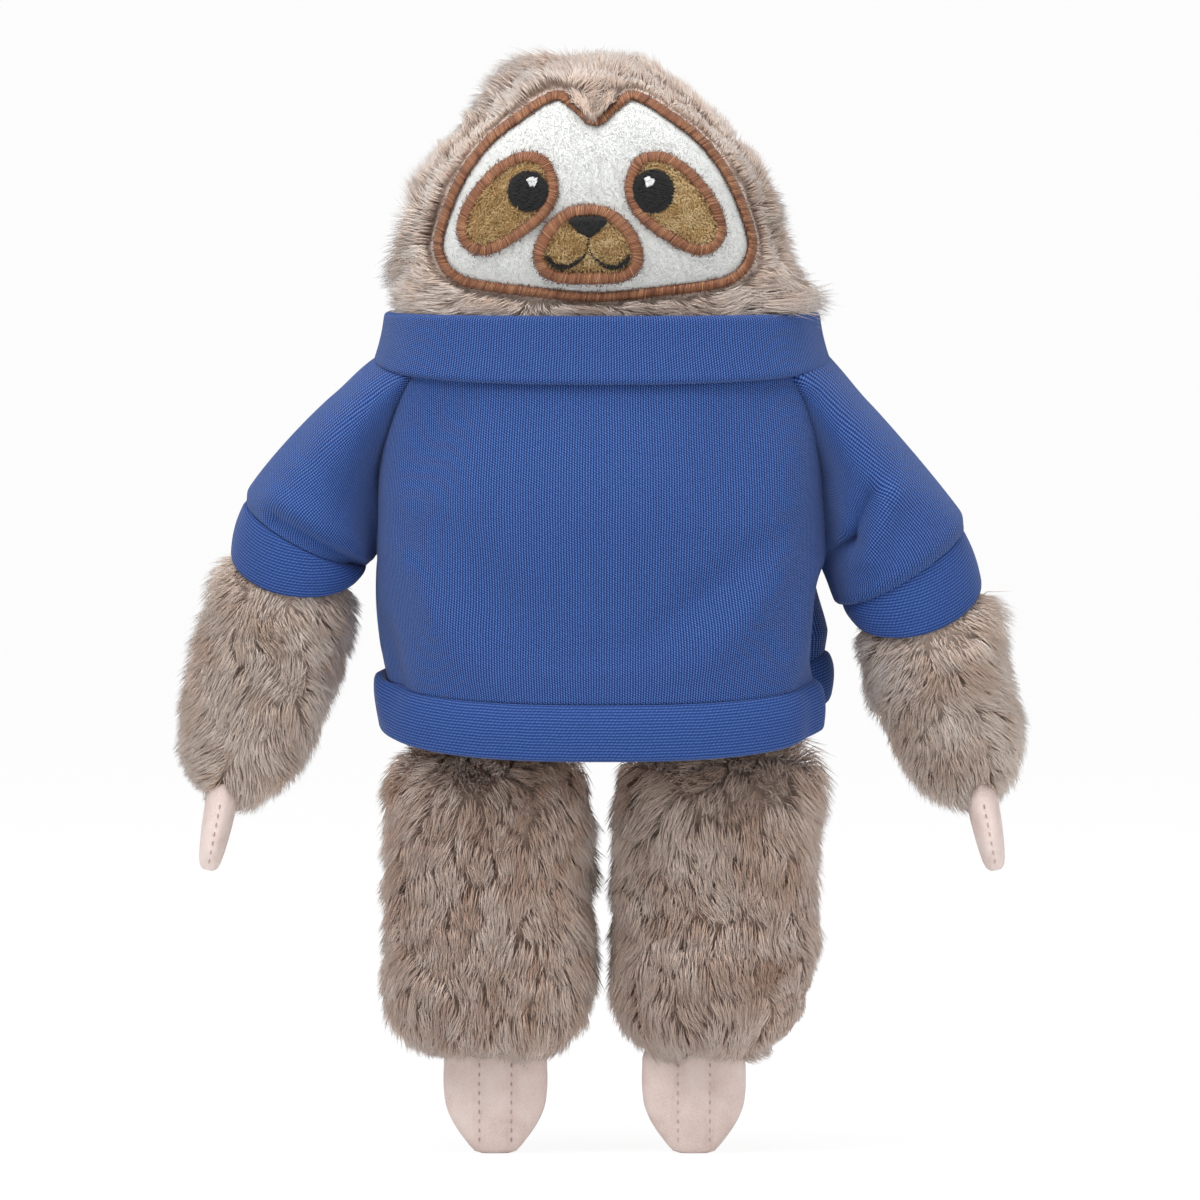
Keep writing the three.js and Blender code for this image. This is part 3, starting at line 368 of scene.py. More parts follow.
def furry_skin(name, grid, coat, material, seed):
    """A closed skin with its pile, as one mesh. coat holds the comb, the lengths and what stays bare."""
    rng = np.random.default_rng(seed)
    points, normals = scatter(grid, coat["density"], rng)
    kept = coat["grows"](points, normals)
    points, normals = points[kept], normals[kept]
    comb = coat["comb"](points, normals)
    comb = unit(comb - (comb * normals).sum(axis=1, keepdims=True) * normals)
    shape = dict(coat, length=coat["long"](points, normals))
    middle, tip, shade = lock_tips(points, normals, comb, shape, rng)
    tint = (0.5 + 0.4 * (shade - 0.5) + rng.normal(0, 0.13, len(points)) + 0.16 * ripple(points, 26, seed)
            + 0.22 * ripple(points * [1, 1, 0.6], 9, seed + 1))
    radius = coat["radius"] * rng.uniform(0.8, 1.2, len(points))
    hair, triangles, places = spikes(points - normals * 0.6, middle, tip, radius, tint, normals)
    rows, columns = grid.shape[:2]
    quads, cells = ring_faces(rows, columns)
    if (np.cross(grid[1:, 1:] - grid[:-1, :-1], grid[1:, :-1] - grid[:-1, 1:])
            * grid_normals(grid)[:-1, :-1]).sum() < 0:
        quads = quads[:, ::-1]
        cells = cells.reshape(-1, 4, 2)[:, ::-1].reshape(-1, 2)
    skin_places = cells[:, ::-1] / np.array([columns, rows * 10])
    base = rows * columns
    caps = [np.arange(columns)[None, ::-1], (np.arange(columns) + base - columns)[None]]
    cap_places = np.full((2 * columns, 2), 0.02)
    points = np.concatenate([grid.reshape(-1, 3), hair])
    places = np.concatenate([skin_places, cap_places, places[triangles].reshape(-1, 2)])
    piece = make_piece(name, points, [quads, *caps, triangles + base], material,
                       {"pile": places, "OFBake": places})
    print(name, "has", len(tip), "strands over", round(len(kept) / coat["density"] / 100), "square centimetres")
    return piece


# %% [markdown]
# ## Head
# The head is a gusseted bag: wide cheeks, a flattened front and a rounded crown. Its pile is combed away from the
# face, upward over the crown and down towards the collar, and it is short under the chin.

# %% Head shape
HEAD_POWER = 2.5
HEAD_HALF_WIDTH, HEAD_HALF_DEPTH = 60.8, 45.5
NECK, HEAD_HEIGHT = 241.15, 86.35
HEAD_OFFSET = -2.0
CROWN_INSET = 0.45
HEAD_SKIN_DEPTH = 6.6
HEAD_SHARES = [
    [0, 0.975, 0.8], [0.13, 0.985, 0.86], [0.25, 0.985, 0.94], [0.36, 0.945, 0.99], [0.48, 0.9, 1],
    [0.6, 0.86, 0.985], [0.7, 0.785, 0.95], [0.79, 0.67, 0.885], [0.87, 0.55, 0.78], [0.94, 0.41, 0.61],
    [0.985, 0.25, 0.37], [1, 0.08, 0.14],
]


def head_sizes(z, depth):
    """Centre, half width and half depth of the head at a height, so far below the tips of its pile."""
    share = (z - NECK) / (HEAD_HEIGHT - depth * CROWN_INSET)
    wide, deep = np.moveaxis(read_table(HEAD_SHARES, share), -1, 0)
    centre = HEAD_OFFSET * (0.5 + 0.5 * np.clip(share / 0.5, 0, 1))
    return centre, np.maximum(HEAD_HALF_WIDTH * wide - depth, 0.5), np.maximum(HEAD_HALF_DEPTH * deep - depth, 0.5)


def head_grid(depth, rows, columns):
    angles = round_angles(columns)
    rise = 1 - (1 - np.linspace(0, 1, rows)) ** 1.5
    heights = NECK + rise * (HEAD_HEIGHT - depth * CROWN_INSET)
    centre, wide, deep = head_sizes(heights, depth)
    rings = [ring(station(c, z, w, d, power=HEAD_POWER), angles)
             for c, z, w, d in zip(centre, heights, wide, deep)]
    return np.array(rings)


def on_face(x, z, depth):
    """Points of the head's front at places across and up, so far below the tips of the pile."""
    centre, wide, deep = head_sizes(z, depth)
    inside = np.clip(1 - np.abs((x - centre) / wide) ** HEAD_POWER, 0, 1)
    return np.stack([x, -deep * inside ** (1 / HEAD_POWER), z], axis=-1)


def face_normals(points):
    """Which way the head's front looks at points of it."""
    return unit(np.stack([(points[..., 0] - HEAD_OFFSET) / 90, np.full(points.shape[:-1], -1.0),
                          (points[..., 2] - 275) / 130], axis=-1))


print("head", HEAD_HALF_WIDTH * 2, "mm wide and", HEAD_HEIGHT, "mm high")

# %% [markdown]
# ## Outlines on the face
# The patches of the face are drawn in the plane of the front as a few listed points, met by a smooth closed curve
# and then brought to the curve of the head.

# %% Face outlines
FACE_HALF_WIDTH, FACE_BOTTOM, FACE_HEIGHT = 48.4, 256.0, 63.3
MUZZLE_HALF_WIDTH, MUZZLE_HALF_HEIGHT, MUZZLE_X, MUZZLE_Z = 16.5, 12.0, -4.1, 273.2
FACE_SHARES = [
    [0, 0.872], [0.09, 0.93], [0.21, 0.995], [0.33, 0.97], [0.47, 0.9], [0.66, 0.79], [0.82, 0.64],
    [0.93, 0.47], [1, 0.29], [0.965, 0.17], [0.87, 0.095], [0.74, 0.06], [0.45, 0.03], [0, 0],
]
EYE_PATCH_SHIFTS = {"right": -0.7, "left": -1.6}
EYE_PATCH_SHARES = [
    [0.42, 0.71], [0.3, 0.69], [0.24, 0.63], [0.21, 0.54], [0.24, 0.45], [0.32, 0.37], [0.48, 0.28],
    [0.62, 0.225], [0.71, 0.22], [0.79, 0.25], [0.84, 0.32], [0.83, 0.4], [0.76, 0.51], [0.64, 0.62],
    [0.53, 0.68],
]
MUZZLE_SHARES = [
    [0, 1], [0.22, 0.97], [0.42, 0.885], [0.69, 0.6], [0.87, 0.27], [0.96, 0], [1, -0.25], [0.95, -0.6],
    [0.75, -0.87], [0.4, -0.985],
]
NOSE_SHARES = [[0, 0.7], [0.24, 0.68], [0.33, 0.58], [0.3, 0.46], [0.15, 0.27], [0, 0.15]]


def mirrored(half):
    return half + [[-x, z] for x, z in reversed(half) if x != 0]


def face_places(shares, sign=1):
    return np.array([[HEAD_OFFSET + FACE_HALF_WIDTH * sign * x, FACE_BOTTOM + FACE_HEIGHT * z] for x, z in shares])


def muzzle_places(shares):
    return np.array([[MUZZLE_X + MUZZLE_HALF_WIDTH * x, MUZZLE_Z + MUZZLE_HALF_HEIGHT * z] for x, z in shares])


def smooth_line(points, closed, steps=8):
    """A smooth curve through points in the plane."""
    if closed:
        padded = np.concatenate([points[-1:], points, points[:2]])
    else:
        padded = np.concatenate([2 * points[:1] - points[1:2], points, 2 * points[-1:] - points[-2:-1]])
    line = []
    for a, b, c, d in zip(padded, padded[1:], padded[2:], padded[3:]):
        for u in np.arange(steps) / steps:
            line.append(0.5 * (2 * b + (c - a) * u + (2 * a - 5 * b + 4 * c - d) * u ** 2
                               + (3 * b - a - 3 * c + d) * u ** 3))
    return np.array(line if closed else line + [points[-1]])


def even_line(line, step, closed, count=None):
    """The same line with points an even step apart, or with so many points."""
    loop = np.concatenate([line, line[:1]]) if closed else line
    far = np.concatenate([[0], np.cumsum(np.linalg.norm(np.diff(loop, axis=0), axis=1))])
    count = count or max(int(round(far[-1] / step)), 3)
    at = np.linspace(0, far[-1], count, endpoint=not closed)
    return np.stack([np.interp(at, far, loop[:, k]) for k in range(loop.shape[1])], axis=1)


def line_sides(line, closed):
    """The direction along a line at each point, and the one square to it on its left."""
    if closed:
        along = unit(np.roll(line, -1, axis=0) - np.roll(line, 1, axis=0))
    else:
        along = unit(np.gradient(line, axis=0))
    return along, np.stack([-along[:, 1], along[:, 0]], axis=1)


def signed_area(line):
    after = np.roll(line, -1, axis=0)
    return (line[:, 0] * after[:, 1] - after[:, 0] * line[:, 1]).sum() / 2


def drawn_in(line, distance):
    _, left = line_sides(line, True)
    return line + left * distance * np.sign(signed_area(line))


def inside(points, line):
    """Which points lie inside a closed line, counting its crossings to the right of each."""
    found = np.zeros(len(points), bool)
    for (ax, az), (bx, bz) in zip(line, np.roll(line, -1, axis=0)):
        crosses = (az > points[:, 1]) != (bz > points[:, 1])
        at = ax + (points[:, 1] - az) / (bz - az if bz != az else 1) * (bx - ax)
        found ^= crosses & (points[:, 0] < at)
    return found


def distance_to(points, line):
    return np.sqrt(((points[:, None] - line[None]) ** 2).sum(axis=2).min(axis=1))


OUTLINE_STEP, NOSE_STEP = 0.8, 0.5
face_line = even_line(smooth_line(face_places(mirrored(FACE_SHARES)), True), OUTLINE_STEP, True)
eye_lines = {side: even_line(smooth_line(face_places(EYE_PATCH_SHARES, sign) + [EYE_PATCH_SHIFTS[side], 0], True),
                             OUTLINE_STEP, True) for side, sign in SIDES}
muzzle_line = even_line(smooth_line(muzzle_places(mirrored(MUZZLE_SHARES)), True), OUTLINE_STEP, True)
nose_line = even_line(smooth_line(muzzle_places(mirrored(NOSE_SHARES)), True), NOSE_STEP, True)
print("face outline", round(len(face_line) * OUTLINE_STEP), "mm round")

# %% [markdown]
# ## Regions of the head
# The pile isn't alike all over the head. It is short round the face, falls into the dip between the brows, stands up
# in a tuft at a corner of the crown and lies sideways under the chin. Each region is a soft mask from 0 to 1 that
# fades at its edges, in millimetres on the head.

# %% Regions of the head
# Each pair: where a mask is still 0 and where it is 1. A fade on the way down or outward has its places negative.
NOTCH_SIDES, NOTCH_BEGINS, NOTCH_ENDS = (-13, -5), (303, 308), (-321, -312)
CHIN_BEGINS, CHIN_ENDS = (250.5, 253), (-262, -257)
CORNER_Z = 316


def away_from_face(points):
    """How far each point on the front of the head stands outside the face patch."""
    flat = points[:, [0, 2]]
    away = distance_to(flat, face_line)
    return np.where(inside(flat, face_line), -away, away) + np.where(points[:, 1] > -8, 99, 0)


def in_notch(points):
    """How far a point lies in the dip between the brows, where the pile falls down, from 0 to 1."""
    x, y, z = points.T
    return (smoothstep(-np.abs(x - HEAD_OFFSET), *NOTCH_SIDES) * smoothstep(z, *NOTCH_BEGINS)
            * smoothstep(-z, *NOTCH_ENDS) * smoothstep(-y, 5, 15))


def in_corner(points):
    """How far a point lies on the tuft at the crown's right corner, from 0 to 1."""
    return np.exp(-((points[:, 2] - CORNER_Z) / 8) ** 2) * smoothstep(-points[:, 0], 8, 18)


def under_chin(points):
    """How far a point lies on the strip of pile between the face and the collar, from 0 to 1."""
    _, y, z = points.T
    return smoothstep(z, *CHIN_BEGINS) * smoothstep(-z, *CHIN_ENDS) * smoothstep(-y, 0, 12)


print("the dip between the brows lies at", NOTCH_BEGINS[1], "mm, the crown's corner at", CORNER_Z, "mm")


# %% [markdown]
# ## Pile of the head
# The comb is a direction at every root: away from the face, up over the crown and down behind. Small waves in it keep
# the coat from looking brushed by a machine. Length and comb together give the outline that the photograph shows,
# such as the tuft over the collar on one side. The collar hides the lowest rows, so nothing grows there.

# %% Pile of the head
COLLAR_COVERS = 8.5
# Lengths in millimetres: at the edge of the face, and what each region adds to or takes from it.
HEAD_PILE = {"edge": 5.6, "away": 5.0, "slope": -2.6, "cheek": 4.4, "tuft": 10.0, "chin": 3.5, "crown": 3.6,
             "corner": 4.5, "notch": 6.5}
CHEEK_Z, TUFT_Z, CROWN_X = 275, 258, -18


def head_grows(points, normals):
    return (away_from_face(points) > 0.1) & (points[:, 2] > NECK + COLLAR_COVERS)


def head_comb(points, normals):
    x, y, z = (points - np.array([HEAD_OFFSET, 0, 0])).T
    swirl = ripple(points, 34, 5)
    notch, chin = in_notch(points), under_chin(points)
    out = (x / 38 + 0.4 * swirl) * (1 - notch) - notch * x / 9 - 1.2 * in_corner(points) + 0.5 * chin
    up = ((z - 268) / 32 + 0.3 * ripple(points, 30, 6)) * (1 - notch) * (1 - 0.9 * chin) - 1.3 * notch
    return np.stack([out, (0.5 + y / 90) * (1 - notch) - 0.55 * notch, up], axis=1)


def head_long(points, normals):
    x, _, z = points.T
    away = smoothstep(away_from_face(points), 0, 9)
    side = smoothstep(np.abs(x - HEAD_OFFSET), 36, 50)
    slope = smoothstep(z, 288, 304) * smoothstep(np.abs(x - HEAD_OFFSET), 12, 22)
    cheek = side * np.exp(-((z - CHEEK_Z) / 15) ** 2) * np.where(x < 0, 1.0, 0.1)
    tuft = side * smoothstep(x, 0, 10) * np.exp(-((z - TUFT_Z) / 6) ** 2)
    tufty = 1 + 0.12 * ripple(points, 20, 7) + 0.14 * ripple(points, 9, 8) * away
    low = HEAD_PILE["cheek"] * cheek + HEAD_PILE["tuft"] * tuft + HEAD_PILE["chin"] * under_chin(points)
    crown = HEAD_PILE["crown"] * np.exp(-((x - CROWN_X) / 9) ** 2) * smoothstep(z, 315, 322)
    return (HEAD_PILE["edge"] + HEAD_PILE["away"] * away + HEAD_PILE["slope"] * slope + low + crown
            + HEAD_PILE["corner"] * in_corner(points) + HEAD_PILE["notch"] * in_notch(points)) * tufty


head_coat = {"density": 2.9, "grows": head_grows, "comb": head_comb, "long": head_long, "radius": 0.15,
             "locks": 0.013, "pull": 0.36, "start": 24, "finish": 62}
head_fur = furry_skin("head_fur", rounded_ends(head_grid(HEAD_SKIN_DEPTH, 60, 120)), head_coat, grey_fur, 11)
dress(head_fur, "torso", "fur_grey_brown", "head_skin")

# %% [markdown]
# ## Legs
# Each leg is a tube whose top is round about its hip, so that it swings without pushing into the trunk. A table
# gives its width and depth on the way up, and a quarter circle closes it.

# %% Shape of the legs
LEG_BOTTOM, HIP = 29.5, 97.0
LEG_HALF_WIDTH, LEG_HALF_DEPTH, LEG_SPREAD = 31.0, 27.0, 34.0
LEG_SKIN_DEPTH = 5.6
LEG_SHARES = [
    [0, 0.62, 0.6], [0.03, 0.78, 0.76], [0.1, 0.92, 0.9], [0.24, 1, 0.98], [0.5, 1, 1], [0.75, 0.99, 1],
    [1, 0.98, 1],
]


def leg_grid(centre, depth, columns):
    angles = round_angles(columns)
    rings = []
    for share in np.linspace(0, 1, 40) ** 1.3:
        wide, deep = read_table(LEG_SHARES, share)
        z = LEG_BOTTOM + depth + (HIP - LEG_BOTTOM - depth) * share
        rings.append(ring(station(centre, z, LEG_HALF_WIDTH * wide - depth, LEG_HALF_DEPTH * deep - depth,
                                  power=2.4), angles))
    radius = LEG_HALF_DEPTH - depth
    top_width = LEG_HALF_WIDTH * LEG_SHARES[-1][1] - depth
    for angle in np.radians(np.linspace(6, 80, 12)):
        wide = top_width * (1 - 0.08 * smoothstep(angle, 1.0, 1.4))
        rings.append(ring(station(centre, HIP + radius * np.sin(angle), wide, radius * np.cos(angle), power=2.4),
                          angles))
    return rounded_ends(np.array(rings))


# %% [markdown]
# ## Pile of the legs
# The legs have the longest pile. It is combed straight down, and its lower edge hangs over the foot like a fringe. At
# the top it lies outward, because the leg is pressed against the seat there.

# %% Pile of the legs
# Lengths in millimetres: the coat, what is pressed flat at the top, the left leg's tuft and its trimmed low side.
LEG_PILE = {"coat": 11.0, "pressed": 2.5, "tuft": 4.5, "trimmed": 6.5}


def leg_comb(points, normals):
    sway = 0.3 * ripple(points, 40, 21)
    high = smoothstep(points[:, 2], 104, 118)
    return np.stack([sway + normals[:, 0] * (0.1 + 0.9 * high), normals[:, 1] * high + 0.12 * ripple(points, 33, 22),
                     -1.0 + 0.9 * high], axis=1)


def leg_long(points, normals):
    x, _, z = points.T
    outer = smoothstep(x, 48, 56)
    high, low = smoothstep(z, 98, 112), 1 - smoothstep(z, 50, 72)
    even = LEG_PILE["coat"] - LEG_PILE["pressed"] * smoothstep(z, 104, 118) * (1 - outer)
    trimmed = LEG_PILE["trimmed"] * low * smoothstep(x, 40, 53)
    return (even + LEG_PILE["tuft"] * outer * high - trimmed) * (1 + 0.12 * ripple(points, 18, 23))


leg_coat = {"density": 2.4, "grows": lambda points, normals: points[:, 2] < 121, "comb": leg_comb,
            "long": leg_long, "radius": 0.155, "locks": 0.013, "pull": 0.38, "start": 26, "finish": 69}
for number, (side, sign) in enumerate(SIDES):
    leg_fur = furry_skin(f"{side}_leg_fur", leg_grid(sign * LEG_SPREAD, LEG_SKIN_DEPTH, 90), leg_coat, brown_fur,
                         31 + number)
    dress(leg_fur, f"{side}_leg", "fur_brown", f"{side}_leg_skin")

# %% [markdown]
# ## Arms
# The arm is a tube that comes out of the cuff, swells and ends in a rounded paw. It hangs in a gentle curve, so its
# rings follow a path of reach and drop from the shoulder, and each stands square to that path. Its pile runs down the
# arm and fans out to both sides from a parting along its middle.

# %% Shape of the arms
SHOULDER_X, SHOULDER_Z, ARM_REACH, ARM_DROP = 62.0, 207.0, 52.0, 98.0
ARM_SHARES = [
    [0, 0, 1], [0.27, 0.107, 1], [0.5, 0.235, 1], [0.61, 0.36, 1], [0.655, 0.465, 1], [0.7, 0.57, 1],
    [0.75, 0.66, 1], [0.81, 0.745, 0.97], [0.9, 0.87, 0.89], [0.96, 0.955, 0.64], [1, 1, 0.27],
]
ARM_SKIN_DEPTH = 5.2
ARM_HALF_WIDTH, ARM_HALF_DEPTH, ARM_SWELLS = 15.5, 17, (5.5, 4)
# For the seam and the edge of each cuff: how far out and how far below the shoulder, half width and lean.
CUFFS = {
    "right": {"seam": (27.2, 20.3, 20.0, 27), "edge": (29.8, 29.6, 19.7, 5.5)},
    "left": {"seam": (27.7, 29.2, 20.8, 31), "edge": (32.7, 41.2, 19.9, 12)},
}
CUFF_HALF_DEPTH, CUFF_SEAM_TILT, CUFF_EDGE_TILT = 22.5, 12, 27


def cuff_station(side, sign, end, tilt):
    reach, drop, half_width, turn = CUFFS[side][end]
    return station(sign * (SHOULDER_X + reach), SHOULDER_Z - drop, half_width, CUFF_HALF_DEPTH, sign * turn, tilt)


def arm_grid(side, sign, depth, columns):
    _, edge_drop, _, _ = CUFFS[side]["edge"]
    rows = np.array(ARM_SHARES)
    path = read_table(np.column_stack([np.arange(len(rows)), rows]), np.linspace(0, len(rows) - 1, 60))
    run = np.gradient(path[:, :2] * [ARM_REACH, ARM_DROP], axis=0)
    rings = []
    for (reach, drop, taper), (across, down) in zip(path, run):
        swell = smoothstep(ARM_DROP * drop - edge_drop, -1, 10)
        wide = (ARM_HALF_WIDTH + ARM_SWELLS[0] * swell) * taper
        deep = (ARM_HALF_DEPTH + ARM_SWELLS[1] * swell) * taper
        turn = sign * (90 - np.degrees(np.arctan2(down, across)))
        rings.append(ring(station(sign * (SHOULDER_X + ARM_REACH * reach), SHOULDER_Z - ARM_DROP * drop,
                                  max(wide - depth, 0.6), max(deep - depth, 0.6), turn), round_angles(columns)))
    return rounded_ends(np.array(rings))


# %% [markdown]
# ## Pile of the arms
# The pile starts just inside the cuff, short where the rib presses on it, and then puffs out on the arm's outer side.
# How far a root lies below the cuff is measured from the plane of the cuff's edge. The puff differs from side to side
# in the photograph.

# %% Pile of the arms
# Each puff: how much longer the pile is, how far below the cuff that is strongest and over which distance it fades.
ARM_PUFFS = {"right": (4.8, 19, 19), "left": (6.2, 8, 12)}
ARM_PILE, ARM_MIDDLE_SHARE = 9.2, 0.72


def arm_coat(side, sign):
    edge = cuff_station(side, sign, "edge", CUFF_EDGE_TILT)
    out = np.cross(edge["across"], edge["back"])
    middle = sign * (SHOULDER_X + ARM_MIDDLE_SHARE * ARM_REACH)

    def below_cuff(points):
        return -((points - edge["centre"]) @ out)

    def comb(points, normals):
        sideways = (points[:, 0] - middle) / 16
        return np.stack([sideways * 0.9 + 0.55 * ripple(points, 30, 41), 0.3 * ripple(points, 26, 42),
                         -1.0 + 0.35 * ripple(points, 24, 43)], axis=1)

    def long(points, normals):
        below = below_cuff(points)
        high, centre, spread = ARM_PUFFS[side]
        outside = smoothstep(sign * points[:, 0], sign * middle - 4, sign * middle + 8)
        puff = high * np.exp(-((below - centre) / spread) ** 2) * smoothstep(below, 0, 5) * outside
        return (ARM_PILE * (0.36 + 0.64 * smoothstep(below, -1, 5)) + puff) * (1 + 0.13 * ripple(points, 17, 44))

    return {"density": 2.7, "grows": lambda points, normals: below_cuff(points) > -3, "comb": comb, "long": long,
            "radius": 0.15, "locks": 0.014, "pull": 0.36, "start": 24, "finish": 63}


for number, (side, sign) in enumerate(SIDES):
    arm_fur = furry_skin(f"{side}_arm_fur", arm_grid(side, sign, ARM_SKIN_DEPTH, 72), arm_coat(side, sign), grey_fur,
                         51 + number)
    dress(arm_fur, f"{side}_arm", "fur_grey_brown", f"{side}_arm_skin")

# %% [markdown]
# ## Trunk
# The sweater hides all of the trunk but its seat, so only the seat has pile, hanging between the hem and the legs.

# %% Trunk
TORSO_HALF_WIDTH, TORSO_HALF_DEPTH, TORSO_POWER = 68.5, 48.0, 2.5
TRUNK_BOTTOM, TRUNK_TOP = 126.0, 239.0
TRUNK_INSETS, NECK_INSET = (13, 9), 9
SEAT_TOP, SEAT_PILE = 131, 8.0


def trunk_grid():
    rings = []
    for z in np.linspace(TRUNK_BOTTOM, TRUNK_TOP, 30):
        low = smoothstep(z, TRUNK_BOTTOM - 8, TRUNK_BOTTOM + 12)
        neck = smoothstep(z, 205, TRUNK_TOP)
        wide = (TORSO_HALF_WIDTH - TRUNK_INSETS[0]) * (0.86 + 0.14 * low) - NECK_INSET * neck
        deep = (TORSO_HALF_DEPTH - TRUNK_INSETS[1]) * (0.84 + 0.16 * low) - NECK_INSET * neck
        rings.append(ring(station(0, z, wide, deep, power=TORSO_POWER), round_angles(90)))
    return rounded_ends(np.array(rings))


seat_coat = {"density": 1.9, "grows": lambda points, normals: points[:, 2] < SEAT_TOP, "comb": leg_comb,
             "long": lambda points, normals: np.full(len(points), SEAT_PILE), "radius": 0.16, "locks": 0.035,
             "pull": 0.4, "start": 28, "finish": 74}
trunk_fur = furry_skin("trunk_fur", trunk_grid(), seat_coat, brown_fur, 61)
dress(trunk_fur, "torso", "fur_brown", "trunk_skin")

# %% [markdown]
# ## Short pile: minky
# The face is minky, a plush with a pile of a millimetre or two that is too short to comb. Its fibres stand up and
# lean all ways, so the white shows a fine grey speckle and the tan looks mottled. Half of the colour follows each
# fibre's length, darker towards the root: painted shade between the fibres.


# %% Minky material
def minky_material(name, stops):
    material, tree = new_material(name)
    _, across, upward = read_map(tree, "pile")
    # Half the colour comes from the length up the fibre, darker at the root: painted shade between the fibres.
    mixed = maths(tree, "MULTIPLY_ADD", across, 0.5, maths(tree, "MULTIPLY", upward, 0.5))
    finish_material(tree, Base_Color=ramped(tree, mixed, stops), Roughness=0.8, Sheen_Weight=0.2,
                    Sheen_Roughness=0.5, Specular_IOR_Level=0.2)
    print("material", name)
    return material


white_minky = minky_material("polyester_minky_white", [(0.0, "#CFD0CF"), (0.3, "#E3E4E2"), (1.0, "#EFEFED")])
tan_minky = minky_material("polyester_minky_tan", [(0.0, "#8E6C3E"), (0.4, "#C9A46C"), (0.7, "#EACF9C"),
                                                   (1.0, "#F8E6BC")])


# %% [markdown]
# ## Cloth cut to an outline
# A patch is cut from flat cloth and sewn to the curved face. The outline is filled with small square cells in the
# plane of the front, and each corner is then brought to the head's surface. A second layer below and a wall round
# the rim close the sheet.


# %% Cloth cut to an outline
def patch_cells(line, cell):
    """Square cells inside an outline, as their corner places and quads."""
    low, high = line.min(axis=0) - cell, line.max(axis=0) + cell
    xs = np.arange(low[0], high[0], cell)
    zs = np.arange(low[1], high[1], cell)
    grid = np.stack(np.meshgrid(xs, zs), axis=-1)
    middles = (grid[:-1, :-1] + grid[1:, 1:]) / 2
    kept = inside(middles.reshape(-1, 2), line).reshape(middles.shape[:2])
    row, column = np.nonzero(kept)
    numbers = row * len(xs) + column
    quads = np.stack([numbers, numbers + 1, numbers + len(xs) + 1, numbers + len(xs)], axis=1)
    used, places = np.unique(quads, return_inverse=True)
    return grid.reshape(-1, 2)[used], places.reshape(-1, 4)


def rim_edges(quads):
    """The edges that only one face has, each in its face's order."""
    edges = np.concatenate([quads[:, [k, (k + 1) % 4]] for k in range(4)])
    keys = np.sort(edges, axis=1)
    _, first, counts = np.unique(keys, axis=0, return_index=True, return_counts=True)
    return edges[first[counts == 1]]


def cloth_patch(flat, quads, top, floor):
    """A closed sheet on the face between two depths: its points and quads, facing out to the front."""
    count = len(flat)
    points = np.concatenate([on_face(*flat.T, top), on_face(*flat.T, floor)])
    rim = rim_edges(quads)
    walls = np.stack([rim[:, 1], rim[:, 0], rim[:, 0] + count, rim[:, 1] + count], axis=1)
    return points, np.concatenate([quads, quads[:, ::-1] + count, walls])


# %% [markdown]
# ## Pile of the patches
# Minky's fibres are short and stand nearly upright, so each is one small spike with a random lean. The eye patches
# and the muzzle have a longer tan pile that swirls. Pile that a border or an eye covers is left out.


# %% Pile of the patches
def short_pile(line, bare, top, rng, sizes):
    """Short spikes inside an outline, but not where the bare lines lie."""
    long, lean, swirl = sizes["long"], sizes["lean"], sizes["swirl"]
    low, high = line.min(axis=0), line.max(axis=0)
    count = int(np.prod(high - low) * sizes["density"])
    flat = low + rng.random((count, 2)) * (high - low)
    kept = inside(flat, line)
    for other in bare:
        kept &= ~inside(flat, other)
    flat = flat[kept]
    roots = on_face(*flat.T, top(flat) + 0.3)
    normal = face_normals(roots)
    way = rng.normal(0, lean, (len(roots), 3)) + swirl * np.stack(
        [ripple(roots, 8, 71), np.zeros(len(roots)), ripple(roots, 8, 72) - 0.5], axis=1)
    length = (long * rng.uniform(0.7, 1.15, len(roots)))[:, None]
    middle = roots + length * 0.5 * unit(normal + way * 0.4)
    tip = middle + length * 0.55 * unit(normal + way)
    # Random tone and a swirled mottle; the last term paints the pile lighter towards the toy's left: painted light.
    tint = 0.5 + 0.3 * swirl * ripple(roots, 5, 73) + rng.normal(0, 0.16, len(roots)) + 0.006 * roots[:, 0] * swirl
    return spikes(roots, middle, tip, np.full(len(roots), sizes["radius"]), tint, normal)


def minky_patch(name, line, bare, sizes, material, slot, seed):
    """A piled patch: its outline, the lines that cover it, and its depths, puff and pile."""
    flat, quads = patch_cells(drawn_in(line, 1.3), 0.9)
    edge = drawn_in(line, sizes["border"])

    def top(places):
        into = np.where(inside(places, edge), distance_to(places, edge), 0)
        return sizes["top"] + sizes["dip"] * np.exp(-into / 2.2) - sizes["puff"] * smoothstep(into, 0, 7)

    points, faces = cloth_patch(flat, quads, top(flat), sizes["floor"])
    hair, triangles, places = short_pile(drawn_in(line, sizes["border"] - 0.8), bare, top,
                                         np.random.default_rng(seed), sizes)
    # The sheet under the pile is tinted like the fibres' roots: painted shade under the pile.
    cloth_places = np.tile([[0.4, 0.1], [0.6, 0.1], [0.6, 0.2], [0.4, 0.2]], (len(faces), 1))
    places = np.concatenate([cloth_places, places[triangles].reshape(-1, 2)])
    piece = make_piece(name, np.concatenate([points, hair]), [faces, triangles + len(points)], material,
                       {"pile": places, "OFBake": places})
    dress(piece, "torso", slot, name.replace("_minky", ""))
    return piece


# %% [markdown]
# ## The four patches
# The white patch lies on the head, and the eye patches and the muzzle lie on the white one, so each has its own depth
# below the tips of the head's pile. Light stuffing under the muzzle puffs it out a little.


# %% The four patches
def circle(middle, radius, turns):
    return middle + np.stack([np.cos(turns), np.sin(turns)], axis=1) * np.reshape(radius, (-1, 1))


